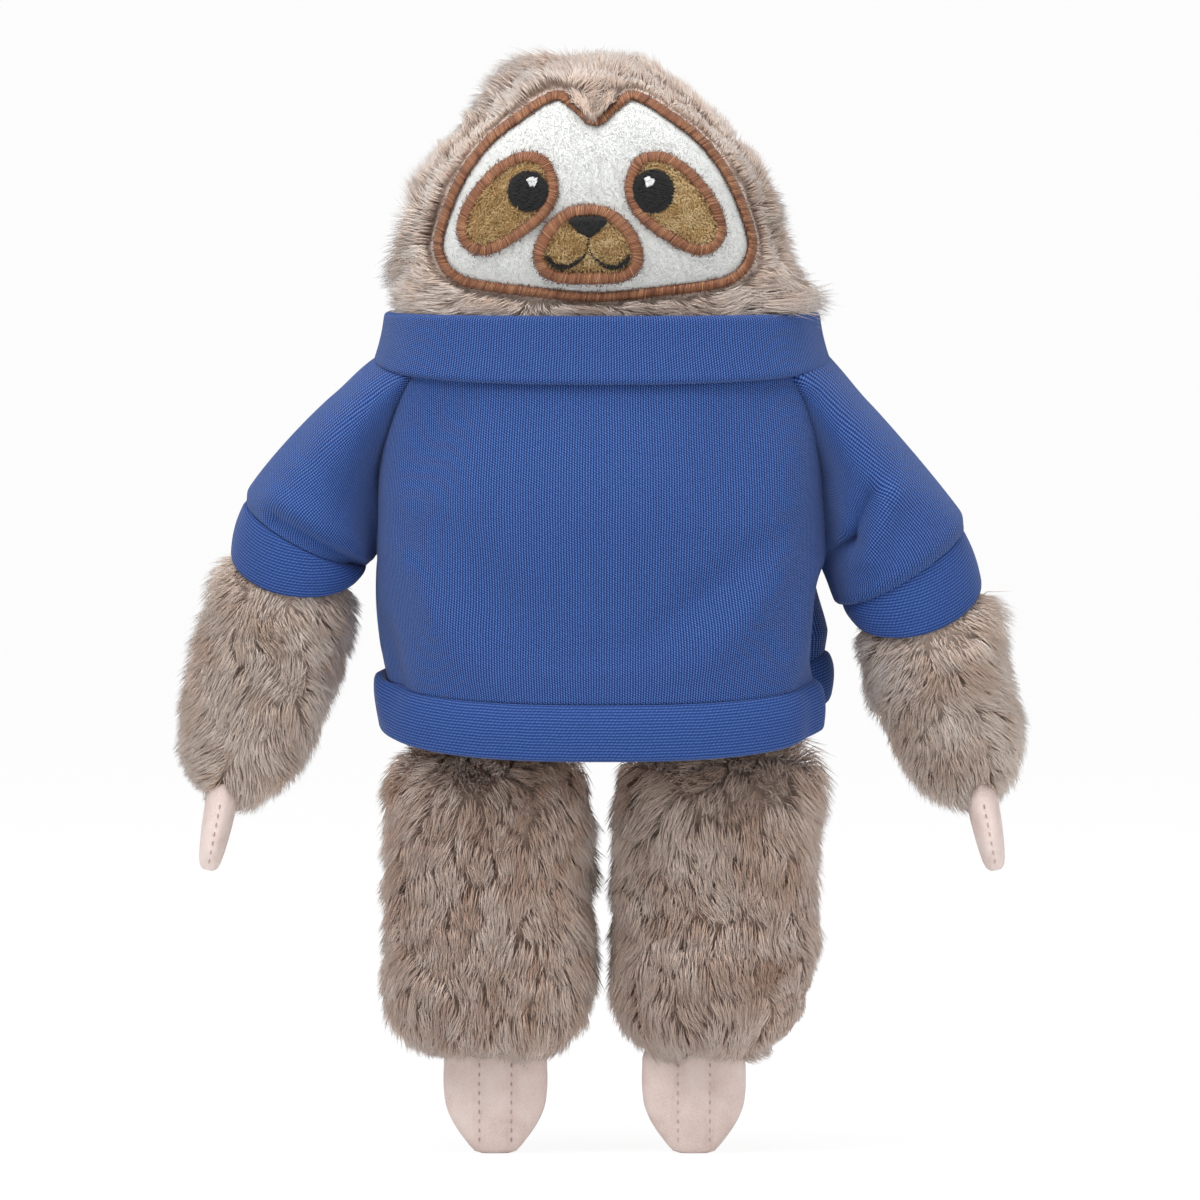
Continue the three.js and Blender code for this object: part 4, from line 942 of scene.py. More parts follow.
EYE_SHARES = [0.39, 0.52]
EYE_SHIFTS = {"right": -1.1, "left": -1.7}
EYE_RADII = {"right": 6.1, "left": 6.5}
eye_middles = {side: face_places([EYE_SHARES], sign)[0] + [EYE_SHIFTS[side], 0] for side, sign in SIDES}
eye_circles = {side: circle(eye_middles[side], EYE_RADII[side], round_angles(60)) for side, _ in SIDES}
# Border: the width that the stitched border covers. Top and floor: the sheet's depths. Dip and puff: how it sinks at
# the border and swells inside it. Density counts spikes on a square millimetre.
white_sizes = {"border": 3.0, "top": 4.9, "floor": 6.5, "dip": 0.9, "puff": 0.5, "density": 8.6, "long": 0.9,
               "lean": 0.4, "swirl": 0.12, "radius": 0.1}
eye_sizes = {"border": 3.5, "top": 3.3, "floor": 4.7, "dip": 0.6, "puff": 0.3, "density": 8.0, "long": 2.1,
             "lean": 0.4, "swirl": 0.9, "radius": 0.17}
muzzle_sizes = dict(eye_sizes, border=4.0, top=2.9, dip=0.9, puff=0.8, long=2.2)
minky_patch("face_patch_minky", face_line, [drawn_in(line, 0.4) for line in (*eye_lines.values(), muzzle_line)],
            white_sizes, white_minky, "white_minky", 81)
for side, _ in SIDES:
    minky_patch(f"{side}_eye_patch_minky", eye_lines[side], [eye_circles[side]], eye_sizes, tan_minky, "tan_minky",
                82)
minky_patch("muzzle_patch_minky", muzzle_line, [nose_line], muzzle_sizes, tan_minky, "tan_minky", 84)

# %% [markdown]
# ## Satin stitch
# The borders are satin stitch: a padded rim wrapped by glossy rayon threads that lie side by side, square to the
# outline. Each thread here is its own small arch over the rim, with slightly uneven ends, so the rim catches light
# thread by thread as the real one does.


# %% Thread materials
def thread_material(name, stops, rough):
    material, tree = new_material(name)
    place, across, _ = read_map(tree, "thread")
    twist = add(tree, "TexWave", {"wave_type": "BANDS", "bands_direction": "DIAGONAL"}, Vector=place, Scale=14.0,
                Distortion=1.0)
    bump = add(tree, "Bump", Strength=0.25, Distance=0.0001, Height=twist.outputs["Fac"])
    finish_material(tree, Base_Color=ramped(tree, across, stops), Roughness=rough, Sheen_Weight=0.1,
                    Specular_IOR_Level=0.5, Normal=bump.outputs["Normal"])
    print("material", name)
    return material


brown_thread = thread_material("rayon_thread_brown", [(0.0, "#5A3220"), (0.2, "#7C4A32"), (0.55, "#A66F4E"),
                                                      (1.0, "#CC9A74")], 0.42)
black_thread = thread_material("rayon_thread_black", [(0.0, "#020202"), (0.6, "#060507"), (1.0, "#111013")], 0.7)
white_thread = thread_material("rayon_thread_white", [(0.0, "#DCDCDC"), (1.0, "#FAFAFA")], 0.45)


# %% [markdown]
# ## A stitch as a mesh
# One stitch is a four-sided tube along a short path, thinner at both ends where it dives into the cloth. Thousands of
# them are built at once in one array. Their map has the thread's tint across and its length upward, so that each
# stitch has one shade of the dye.


# %% Thread helpers
def threads(paths, ups, half_width, half_height, tint):
    """Closed four-sided threads along paths of a few points each, and their map."""
    count, steps = paths.shape[:2]
    along = unit(np.gradient(paths, axis=1))
    side = unit(np.cross(along, ups)) * np.reshape(half_width, (-1, 1, 1))
    up = unit(np.cross(side, along)) * half_height
    thin = np.ones(steps)
    thin[[0, -1]] = 0.55
    thin = thin[None, :, None]
    section = np.stack([side * thin, up * thin, -side * thin, -up * thin], axis=2)
    points = (paths[:, :, None] + section).reshape(-1, 3)
    faces = []
    for step in range(steps - 1):
        for k in range(4):
            after = (k + 1) % 4
            faces.append([step * 4 + k, step * 4 + after, step * 4 + 4 + after, step * 4 + 4 + k])
    faces += [[3, 2, 1, 0], [steps * 4 - 4 + k for k in range(4)]]
    faces = np.array(faces)
    quads = (np.arange(count) * steps * 4)[:, None, None] + faces
    round_places = np.array([0, 0.02, 0.04, 0.02])
    u = np.clip(tint, 0.03, 0.93)[:, None, None] + round_places[None, None] + np.zeros((1, steps, 1))
    v = np.linspace(0.02, 0.98, steps)[None, :, None] + np.array([0, 0.004, 0.008, 0.004])[None, None]
    places = np.stack(np.broadcast_arrays(u, v), axis=-1).reshape(-1, 2)
    return points, quads.reshape(-1, 4), places


def merge(parts):
    """Several meshes of one kind as one: points, faces and the map's place at every corner."""
    points, faces, places, total = [], [], [], 0
    for part_points, part_faces, part_places in parts:
        points.append(part_points)
        faces.append(part_faces + total)
        places.append(part_places[part_faces].reshape(-1, 2))
        total += len(part_points)
    return np.concatenate(points), np.concatenate(faces), np.concatenate(places)


# %% [markdown]
# ## Satin borders
# A machine lays padding along the outline and wraps it with close threads. So a border has three parts: a low ridge,
# the stitches over it, and loose thread ends at its two edges, where the needle has roughened the pile. The ridge
# takes a darker tint of the thread, painted shade between the stitches, and the loose ends the darkest tints,
# painted shade along the border's edges.


# %% Satin borders
def satin(line, half_widths, floor, top, closed, rng, pitch=0.5):
    """Stitches laid square across a line, over a rim that rises from floor to top."""
    even = even_line(np.column_stack([line, half_widths]), pitch, closed)
    centre, half = even[:, :2], even[:, 2]
    along, left = line_sides(centre, closed)
    count = len(centre)
    across = np.array([-1, -0.72, -0.3, 0.3, 0.72, 1])
    ragged = 1 + rng.normal(0, 0.06, (count, 2))
    reach = half[:, None] * across * np.where(across < 0, ragged[:, :1], ragged[:, 1:])
    slant = (0.35 + rng.normal(0, 0.1, (count, 1))) * across
    flat = centre[:, None] + left[:, None] * reach[..., None] + along[:, None] * slant[..., None]
    crown = np.sqrt(np.clip(1 - (across * 0.98) ** 2, 0, 1))
    depth = floor + (top - floor) * crown + rng.normal(0, 0.06, (count, 1))
    paths = on_face(flat[..., 0], flat[..., 1], depth)
    tint = 0.55 + rng.normal(0, 0.17, count)
    return threads(paths, face_normals(paths), np.full(count, pitch * 0.44), 0.32, tint)


def rim(line, half_widths, floor, top, closed):
    """The padding under the stitches, a low rounded ridge along the line."""
    even = even_line(np.column_stack([line, half_widths]), 1.2, closed)
    centre, half = even[:, :2], even[:, 2] * 0.93
    _, left = line_sides(centre, closed)
    turn = np.linspace(0, 2 * np.pi, 10, endpoint=False)
    flat = centre[:, None] + left[:, None] * (half[:, None] * np.cos(turn))[..., None]
    depth = floor + (top - floor + 0.15) * np.clip(np.sin(turn), -0.2, 1)
    grid = on_face(flat[..., 0], flat[..., 1], depth[None] + np.zeros((len(centre), 1)))
    count = len(centre)
    quads, _ = ring_faces(count + 1 if closed else count, 10)
    # Its darker tint of the thread is painted shade in the gaps between the stitches.
    return grid.reshape(-1, 3), quads % (count * 10), np.tile([[0.2, 0.5], [0.25, 0.6]], (count * 5, 1))


def fringe(line, depth, per_mm, long, rng):
    """Loose thread ends along a closed line: short fine threads that stick out to its two sides."""
    even = even_line(line, 1 / per_mm, True)
    along, left = line_sides(even, True)
    count = len(even)
    way = along * rng.normal(0, 0.7, (count, 1)) + left * rng.choice([-1, 1], (count, 1)) * rng.random((count, 1))
    reach = (long * rng.uniform(0.5, 1.2, count))[:, None]
    flat = even[:, None] + unit(way)[:, None] * reach[..., None] * np.array([0, 0.5, 1])[:, None]
    paths = on_face(flat[..., 0], flat[..., 1], depth - rng.uniform(0, 0.9, (count, 1)) * np.array([0, 1, 0.8]))
    # Their tints lie at the dark end of the thread: painted shade along the edges of the border.
    return threads(paths, face_normals(paths), np.full(count, 0.11), 0.11, np.abs(rng.normal(0, 0.12, count)))


def stitched_piece(name, parts, material, slot, node):
    points, quads, places = merge(parts)
    piece = make_piece(name, points, [quads], material, {"thread": places})
    recalculate(piece)
    dress(piece, "torso", slot, node)
    return piece


def border_piece(node, line, width, floor, top, seed):
    centre = drawn_in(line, width / 2)
    half = np.full(len(centre), width / 2)
    rng = np.random.default_rng(seed)
    parts = [rim(centre, half, floor, top, True), satin(centre, half, floor, top, True, rng),
             fringe(drawn_in(line, 0.1), (floor + top) / 2, 2.2, 1.1, rng),
             fringe(drawn_in(line, width - 0.1), (floor + top) / 2, 2.2, 0.9, rng)]
    return stitched_piece(f"{node}_satin", parts, brown_thread, "brown_stitching", node)


FACE_BORDER_TOP, EYE_BORDER_TOP, MUZZLE_BORDER_TOP = 3.9, 2.3, 1.6
border_piece("face_border", face_line, white_sizes["border"], white_sizes["floor"], FACE_BORDER_TOP, 91)
for number, (side, _) in enumerate(SIDES):
    border_piece(f"{side}_eye_border", eye_lines[side], eye_sizes["border"], eye_sizes["floor"], EYE_BORDER_TOP,
                 92 + number)
border_piece("muzzle_border", muzzle_line, muzzle_sizes["border"], muzzle_sizes["floor"], MUZZLE_BORDER_TOP, 94)

# %% [markdown]
# ## Forelock
# A small tuft hangs over the dip of the border between the brows. Its strands are rooted in the pile above, run
# together towards the dip and lie just over the stitches. The head's own pile can't do this, because its comb turns
# too slowly there, so the tuft is a piece of its own in the same fur.

# %% Forelock
LOCK_COUNT, LOCK_X = 680, -2.7
ROOT_HALF_WIDTH, ROOT_Z, ROOT_DEPTH = 8.0, 318.0, 5.5
TIP_HALF_WIDTH, TIP_Z, TIP_RISE, TIP_DEPTH = 4.0, 308.3, 6.5, 2.6
MIDDLE_SHARE, MIDDLE_DEPTH = 0.55, 1.6
rng = np.random.default_rng(97)
lock_across = rng.uniform(-1, 1, LOCK_COUNT)
root_x, root_z = LOCK_X + ROOT_HALF_WIDTH * lock_across, ROOT_Z + rng.uniform(-3, 3, LOCK_COUNT)
tip_x = LOCK_X + TIP_HALF_WIDTH * lock_across + rng.normal(0, 0.7, LOCK_COUNT)
tip_z = TIP_Z + TIP_RISE * np.abs(lock_across) ** 1.3 + rng.uniform(0, 3.5, LOCK_COUNT)
middle_x = root_x * (1 - MIDDLE_SHARE) + tip_x * MIDDLE_SHARE
middle_z = root_z * (1 - MIDDLE_SHARE) + tip_z * MIDDLE_SHARE
# The tuft's tint is a little darker than the head's pile: painted shade in the dip between the brows.
hair, triangles, places = spikes(on_face(root_x, root_z, ROOT_DEPTH), on_face(middle_x, middle_z, MIDDLE_DEPTH),
                                 on_face(tip_x, tip_z, TIP_DEPTH), rng.uniform(0.11, 0.17, LOCK_COUNT),
                                 0.3 + rng.normal(0, 0.13, LOCK_COUNT),
                                 unit(np.tile([0.0, -1.0, 0.5], (LOCK_COUNT, 1))))
places = places[triangles].reshape(-1, 2)
forelock = make_piece("forelock_fur", hair, [triangles], grey_fur, {"pile": places, "OFBake": places})
dress(forelock, "torso", "fur_grey_brown")
print("forelock", LOCK_COUNT, "strands")

# %% [markdown]
# ## Filled stitching
# The eyes, the nose and the glints are filled with rows of thread, each row broken into stitches of a few
# millimetres. Rows are found by cutting the outline with parallel lines at an angle, as an embroidery machine does.
# The stitches lie on a thin patch, so that no cloth shows between them.


# %% Filled stitching
def rows_inside(line, pitch, angle):
    """Where rows at an angle cross an outline, as pairs of end places."""
    turn = np.radians(angle)
    spin = np.array([[np.cos(turn), np.sin(turn)], [-np.sin(turn), np.cos(turn)]])
    turned = line @ spin.T
    pairs = []
    for z in np.arange(turned[:, 1].min() + pitch / 2, turned[:, 1].max(), pitch):
        after = np.roll(turned, -1, axis=0)
        cross = (turned[:, 1] > z) != (after[:, 1] > z)
        share = (z - turned[cross, 1]) / (after[cross, 1] - turned[cross, 1])
        xs = np.sort(turned[cross, 0] + share * (after[cross, 0] - turned[cross, 0]))
        for low, high in zip(xs[::2], xs[1::2]):
            pairs.append((np.array([low, z]) @ spin, np.array([high, z]) @ spin))
    return pairs


def filled(line, depth, pitch, stitch, angle, rng):
    """Rows of stitches over an outline, at a depth given as a function of the place."""
    starts, ends = [], []
    for start, end in rows_inside(line, pitch, angle):
        long = np.linalg.norm(end - start)
        ragged = unit(end - start) * rng.normal(0, 0.15)
        count = max(int(round(long / stitch + rng.normal(0, 0.3))), 1)
        cuts = np.linspace(0, 1, count + 1)
        cuts[1:-1] += rng.uniform(-0.3, 0.3, count - 1) / count
        for a, b in zip(cuts, cuts[1:]):
            starts.append(start + (end - start) * a + (ragged if a == 0 else 0))
            ends.append(start + (end - start) * b + (ragged if b == 1 else 0))
    starts, ends = np.array(starts), np.array(ends)
    share = np.array([-0.02, 0.25, 0.5, 0.75, 1.02])[None, :, None]
    flat = starts[:, None] + (ends - starts)[:, None] * share
    arch = np.array([0.18, -0.02, -0.06, -0.02, 0.18])
    paths = on_face(flat[..., 0], flat[..., 1], depth(flat) + arch + rng.normal(0, 0.03, (len(starts), 1)))
    return threads(paths, face_normals(paths), np.full(len(starts), pitch * 0.6), 0.2,
                   0.5 + rng.normal(0, 0.2, len(starts)))


def base_patch(line, top, floor):
    """A thin closed patch under filled stitching."""
    flat, quads = patch_cells(drawn_in(line, 0.3), 0.5)
    points, faces = cloth_patch(flat, quads, np.full(len(flat), top), floor)
    # Its tint lies at the dark end of the thread's: painted shade between the stitches.
    return points, faces, np.tile([[0.2, 0.4], [0.24, 0.5]], (len(points) // 2, 1))


def dome(line, top, rise, width):
    def depth(flat):
        shape = flat.shape[:-1]
        into = distance_to(flat.reshape(-1, 2), line).reshape(shape)
        return top - rise * smoothstep(into, -0.5, width)
    return depth


# %% [markdown]
# ## Eyes
# Each eye is a disc of black thread that rises in the middle, with a small white glint stitched on it. Both glints
# sit to the inner side and above, and their outline wobbles a little, since so few stitches make no clean circle.

# %% Eyes
EYE_TOP, EYE_FLOOR, GLINT_TOP = 2.5, 4.5, 1.55
ROW_PITCH, FINE_PITCH = 0.36, 0.34
GLINT_RADIUS, GLINT_IN, GLINT_UP = 1.45, 1.2, 2.9
for number, (side, sign) in enumerate(SIDES):
    rng = np.random.default_rng(101 + number)
    disc = eye_circles[side]
    parts = [base_patch(disc, EYE_TOP, EYE_FLOOR),
             filled(disc, dome(disc, EYE_TOP, 0.6, 2.5), ROW_PITCH, 3.2, 4, rng)]
    stitched_piece(f"{side}_eye_satin", parts, black_thread, "black_stitching", f"{side}_eye")
    turns = round_angles(24)
    wobble = GLINT_RADIUS + 0.16 * np.sin(turns * 3 + number) + 0.1 * np.sin(turns * 5)
    glint = circle(eye_middles[side] + [-sign * GLINT_IN, GLINT_UP], wobble, turns)
    rows = filled(glint, lambda flat: GLINT_TOP + 0 * flat[..., 0], FINE_PITCH, 1.4, 62, rng)
    stitched_piece(f"{side}_eye_glint_satin", [rows], white_thread, "white_stitching", f"{side}_eye_glint")

# %% [markdown]
# ## Nose and smile
# The nose is filled like the eyes, with its rows nearly upright. The smile is a satin line that swells towards the
# cheeks, and a short stem joins it to the nose. Both are drawn in shares of the muzzle.

# %% Nose and smile
NOSE_TOP, NOSE_FLOOR = 1.7, 3.0
nose_parts = [base_patch(nose_line, NOSE_TOP, NOSE_FLOOR),
              filled(nose_line, dome(nose_line, NOSE_TOP, 0.7, 2.0), ROW_PITCH, 3.0, 82,
                     np.random.default_rng(111))]
stitched_piece("nose_satin", nose_parts, black_thread, "black_stitching", "nose")

SMILE_SHARES = [[0, -0.16, 0], [0.1, -0.32, 0.1], [0.27, -0.5, 0.5], [0.45, -0.57, 1], [0.64, -0.48, 0.9],
                [0.74, -0.3, 0.3]]
MOUTH_THIN, MOUTH_THICK = 0.8, 1.7
smile = np.array([[-x, z, t] for x, z, t in reversed(SMILE_SHARES[1:])] + SMILE_SHARES)
smile = smooth_line(smile, False)
smile_line = muzzle_places(smile[:, :2])
smile_half = (MOUTH_THIN + (MOUTH_THICK - MOUTH_THIN) * smile[:, 2]) / 2
stem_line = muzzle_places([[0, 0.2], [0, -0.2]])
stem_half = np.full(9, MOUTH_THIN / 2)
mouth_parts = [satin(smile_line, smile_half, 2.8, 1.3, False, np.random.default_rng(112), FINE_PITCH),
               satin(smooth_line(stem_line, False), stem_half, 2.6, 1.4, False, np.random.default_rng(113),
                     FINE_PITCH)]
stitched_piece("mouth_satin", mouth_parts, black_thread, "black_stitching", "mouth")

# %% [markdown]
# ## Knitted cloth
# The sweater is a fine interlock knit of dyed cotton. Columns of small loops, the wales, run 0.8 mm apart, and each
# loop catches light on its shoulder and leaves a dark gap beside it. That light and shade is painted into the colour,
# which follows the height of the loops, and the bump adds it too. The map on each cloth piece is in millimetres of
# cloth, with the wales along its second axis, so the loops keep their size on every piece.

# %% Knit material
WALE, COURSE = 0.8, 0.72
RIB_WALE, RIB_COURSE = 0.9, 1.2
# The knit's colours run from the painted shade in the gaps to the painted highlight on the loops' shoulders.
KNIT_BLUES = [(0.1, "#0D2262"), (0.5, "#203E7E"), (0.95, "#577CBF")]


def knit_material(name, wale, course, ridges, beads):
    material, tree = new_material(name)
    place, across, upward = read_map(tree, "knit")

    def wave(value, spacing):
        return maths(tree, "SINE", maths(tree, "MULTIPLY_ADD", value, 2 * np.pi / spacing, 0.0))

    wobble = add(tree, "TexNoise", Vector=place, Scale=0.12, Detail=2.0)
    shift = maths(tree, "MULTIPLY_ADD", wobble.outputs["Fac"], 0.5, across)
    brick = maths(tree, "MULTIPLY_ADD", shift, course / wale / 2, upward)
    lifted = maths(tree, "MULTIPLY_ADD", wave(shift, wale), ridges, 0.4)
    height = maths(tree, "MULTIPLY_ADD", wave(brick, course), beads, lifted)
    fleck = add(tree, "TexNoise", Vector=place, Scale=1.4, Detail=3.0)
    # The colour follows the loops' height: painted highlight on their shoulders, painted shade in the gaps.
    dye_and_painted_light = ramped(tree, maths(tree, "MULTIPLY_ADD", fleck.outputs["Fac"], 0.3, height), KNIT_BLUES)
    bump = add(tree, "Bump", Strength=0.8, Distance=0.00035, Height=height)
    finish_material(tree, Base_Color=dye_and_painted_light, Roughness=0.75, Sheen_Weight=0.12, Sheen_Roughness=0.45,
                    Specular_IOR_Level=0.2, Normal=bump.outputs["Normal"])
    print("material", name, "wales", wale, "mm apart")
    return material


blue_knit = knit_material("cotton_interlock_knit_blue", WALE, COURSE, 0.28, 0.2)
blue_rib = knit_material("cotton_rib_knit_blue", RIB_WALE, RIB_COURSE, 0.17, 0.07)

# %% [markdown]
# ## Body of the sweater
# The front and back panels lie over the stuffed trunk. A table gives the body's width and depth at each share of its
# height, and every point is found from an angle round it. The raglan seam runs from the underarm up to the collar and
# is where each panel stops. The sweater is a little too large for the toy, so it hangs in folds. Each is a soft
# groove or ridge that drifts round the body on its way down. They could come from a cloth simulation, but listed one
# by one they fall where the photograph shows them.

# %% Shape and folds of the body
HEM_SEAM, COLLAR_SEAM = 144.2, 238.2
HEM_TILT, COLLAR_TILT = 9.6, 8.2
BACK_LEVEL = 0.35
CLOTH = 1.3
TORSO_SHARES = [
    [0, 0.95, 0.94], [0.08, 0.97, 0.96], [0.18, 0.98, 0.975], [0.34, 0.98, 0.985], [0.5, 0.985, 0.995],
    [0.65, 0.997, 0.995], [0.78, 0.99, 0.967], [0.9, 0.97, 0.922], [1, 0.955, 0.88],
]
# Each row: height share of the body, then how far round from the side the raglan seam lies.
RAGLAN_SHARES = [[0, 0], [0.35, 0], [0.4, 7], [0.5, 9.5], [0.6, 11], [0.69, 13], [0.8, 20], [0.916, 27], [1, 34]]
# Each fold: its angle at the top, how far it drifts on its way down, how wide it is in degrees, the height shares
# where it ends and begins, and how many millimetres it sinks, or swells where that is less than zero.
FOLDS = [
    (-20, -6, 9, -0.9, 0.5, 1.6), (2, -4, 5.5, -0.35, 0.41, 8.0), (-9, 0, 9, -0.02, 0.38, 5.0),
    (16, 2, 9, -0.35, 0.32, -3.4), (8, 0, 14, 0.08, 0.5, 3.0), (6, 0, 16, -0.6, 0.22, -1.0),
    (-34, -40, 9, 0.05, 0.5, -1.8), (-46, -46, 8, 0.1, 0.55, 1.5), (-150, 36, 10, 0.0, 0.5, -1.6),
    (-128, 30, 9, 0.1, 0.6, 1.2), (-166, 10, 8, -0.1, 0.26, 2.6), (-126, -20, 12, 0.6, 1.0, 1.5),
    (-70, 8, 16, 0.55, 0.98, 1.4), (30, 22, 10, 0.02, 0.45, 2.4), (152, -16, 12, 0.05, 0.4, 3.0),
    (176, 0, 10, -0.9, 0.3, 1.4),
]


def fold_depth(angle, share):
    """How far the cloth is drawn in by its folds, which swell and fade over their part of the height."""
    total = np.zeros(np.broadcast(angle, share).shape)
    for at, drift, spread, low, high, depth in FOLDS:
        along = np.clip((share - low) / (high - low), 0, 1)
        centre = np.radians(at + drift * (1 - along))
        off = np.arctan2(np.sin(angle - centre), np.cos(angle - centre)) / np.radians(spread)
        total += depth * np.sin(np.pi * along) * np.exp(-off * off)
    cloth = np.stack(np.broadcast_arrays(66 * angle, 94 * share, 0 * angle), axis=-1)
    loose = np.sin(np.pi * np.clip(share, 0, 1)) ** 0.5
    return total + 0.8 * loose * ripple(cloth.reshape(-1, 3), 44, 77).reshape(total.shape)


def fold_lift(angle, share):
    """How far the hem is hitched up behind the fold on the left side."""
    off = np.arctan2(np.sin(angle - 0.26), np.cos(angle - 0.26)) / 0.23
    return 5.5 * np.exp(-off * off) * (1 - smoothstep(share, -0.05, 0.35))


def torso_point(angle, share, sunk=0.0):
    """A point on the sweater's body, by the angle round it, the share of its height and how far it is sunk."""
    wide, deep = np.moveaxis(read_table(TORSO_SHARES, np.clip(share, 0, 1)), -1, 0)
    pulled = fold_depth(angle, share) + sunk
    across = (TORSO_HALF_WIDTH * wide - pulled) * bend(np.cos(angle), TORSO_POWER)
    back = (TORSO_HALF_DEPTH * deep - pulled) * bend(np.sin(angle), TORSO_POWER)
    tilt = np.radians(HEM_TILT + (COLLAR_TILT - HEM_TILT) * share)
    height = HEM_SEAM + (COLLAR_SEAM - HEM_SEAM) * share + fold_lift(angle, share)
    level = np.where(back > 0, BACK_LEVEL, 1.0)
    return np.stack([across, back * np.cos(tilt), height + level * back * np.sin(tilt)], axis=-1)


def raglan_angle(share):
    return np.radians(read_table(RAGLAN_SHARES, np.clip(share, 0, 1))[..., 0])


print("body of the sweater", COLLAR_SEAM - HEM_SEAM, "mm high, with", len(FOLDS), "folds")

# %% [markdown]
# ## Front and back panel
# Each panel is one sheet of cloth. Along every seam it turns in, which leaves the dark line that a sewn seam shows.
# The Solidify modifier gives the sheet its thickness, and its map counts millimetres of cloth, so that the knit has
# its true size.


# %% Panels
def run_length(grid, axis):
    """The distance run along the lines of a grid at each of its points."""
    steps = np.linalg.norm(np.diff(grid, axis=axis, prepend=np.take(grid, [0], axis=axis)), axis=2)
    return np.cumsum(steps, axis=axis)


def turned_in(count, turn):
    """Places from 0 to 1 with extra ones at both ends, and how far each of them is sunk in its seam."""
    middle = np.linspace(0, 1, count)
    places = np.concatenate([[0, 0, 0], middle, [1, 1, 1]])
    sunk = np.concatenate([[turn, turn * 0.55, turn * 0.2], np.zeros(count), [turn * 0.2, turn * 0.55, turn]])
    return places, sunk


def open_faces(rows, columns):
    row, column = np.meshgrid(np.arange(rows - 1), np.arange(columns - 1), indexing="ij")
    first = (row * columns + column).ravel()
    return np.stack([first, first + 1, first + columns + 1, first + columns], axis=1)


def cloth_piece(name, grid, places, material, wrap=False):
    """Cloth from a grid of points, thickened inward to a closed sheet by Solidify."""
    rows, columns = grid.shape[:2]
    if wrap:
        quads, cells = ring_faces(rows, columns)
        corner_places = places[cells[:, 0], cells[:, 1]]
    else:
        quads = open_faces(rows, columns)
        corner_places = places.reshape(-1, 2)[quads.ravel()]
    piece = make_piece(name, grid.reshape(-1, 3), [quads], material, {"knit": corner_places})
    select_only(piece)
    thick = piece.modifiers.new("cloth", "SOLIDIFY")
    thick.thickness = CLOTH * MM
    thick.offset = -1.0
    bpy.ops.object.modifier_apply(modifier="cloth")
    piece.select_set(False)
    return piece


def panel(name, sign, node, columns=150, rows=110):
    """The front panel for sign -1 and the back panel for sign 1."""
    high, sunk_high = turned_in(rows, 3.0)
    across, sunk_across = turned_in(columns, 2.2)
    share = high[:, None] + np.zeros((1, len(across)))
    seam = raglan_angle(share)
    angle = sign * (np.pi - seam + (2 * seam - np.pi) * across[None])
    if sign > 0:
        angle = angle[:, ::-1]
    sunk = np.maximum(sunk_high[:, None], sunk_across[None])
    grid = torso_point(angle, share, sunk)
    girth = torso_point(np.linspace(-np.pi, np.pi, 721), np.full(721, 0.5))
    far = np.concatenate([[0], np.cumsum(np.linalg.norm(np.diff(girth, axis=0), axis=1))])
    u = np.interp(angle, np.linspace(-np.pi, np.pi, 721), far)
    v = share * (COLLAR_SEAM - HEM_SEAM) + sunk_high[:, None]
    piece = cloth_piece(name, grid, np.stack([u, v], axis=-1), blue_knit)
    dress(piece, "torso", "blue_knit", node)
    return piece


front = panel("front_panel_knit", -1, "front_panel")
back = panel("back_panel_knit", 1, "back_panel")


# %% [markdown]
# ## Sleeves
# A raglan sleeve runs from its long slanted seam to the cuff. Its first ring is the seam on the body and the collar
# edge between the two seams; its last is the top of the cuff. The two sleeves hang differently in the photograph, so
# drop, fullness and folds are set for each side.

# %% Sleeve seams and folds
SLEEVE_COLUMNS, SLEEVE_ROWS, EASING_STEPS = 140, 60, 70
UNDERARM_SHARE = 0.345
WALE_SLANT = 0.29
SEAM_OUTSET, SHOULDER_SWELL, SLEEVE_SWELL = 0.4, 2.6, 1.4
SLEEVE_DROPS = {"right": 0.28, "left": 0.6}
SLEEVE_FULLNESS = {"right": 0.56, "left": 0.38}
# Each row: the two ends of a fold as seen from the front, how wide it is and how far it sinks or swells.
SLEEVE_FOLDS = {
    "right": [((-97, 191), (-74, 177.5), 2.0, 2.6), ((-97, 196.5), (-72, 183.5), 4.0, -1.8),
              ((-92, 214), (-76, 198), 5.0, 0.9)],
    "left": [((70, 181), (75.5, 184.5), 2.6, 2.6), ((75.5, 184.5), (80.5, 198), 2.8, 2.6),
             ((80, 180), (86, 197), 3.4, -1.6), ((69, 200), (72.5, 189), 3.4, -1.4),
             ((88, 200), (104, 190), 5.0, -0.8)],
}


def sleeve_root(sign, wider, sunk):
    """The seam loop from the underarm over the front seam, the collar and the back seam."""
    rise = np.linspace(UNDERARM_SHARE - wider / 90, 1 + wider / 90, 60)
    seam = raglan_angle(rise) + np.radians(wider)
    top = np.linspace(seam[-1], -seam[-1], 30)[1:-1]
    angles = np.concatenate([-seam, -top, seam[::-1]])
    shares = np.concatenate([rise, np.full(len(top), rise[-1]), rise[::-1]])
    if sign < 0:
        angles = np.pi - angles
    return even_line(torso_point(angles, shares, sunk)[:-1], None, True, SLEEVE_COLUMNS)


print("folds on the sleeves", {side: len(folds) for side, folds in SLEEVE_FOLDS.items()})

# %% [markdown]
# ## Surface of a sleeve
# Every line of the sleeve leaves the body outward and meets the cuff along the arm, which gives the full shoulder and
# the tight underarm. These lines are Hermite curves: each is set by its two ends and by its direction there. Some
# easing round the arm rounds them off, and the folds then sink or lift the cloth.


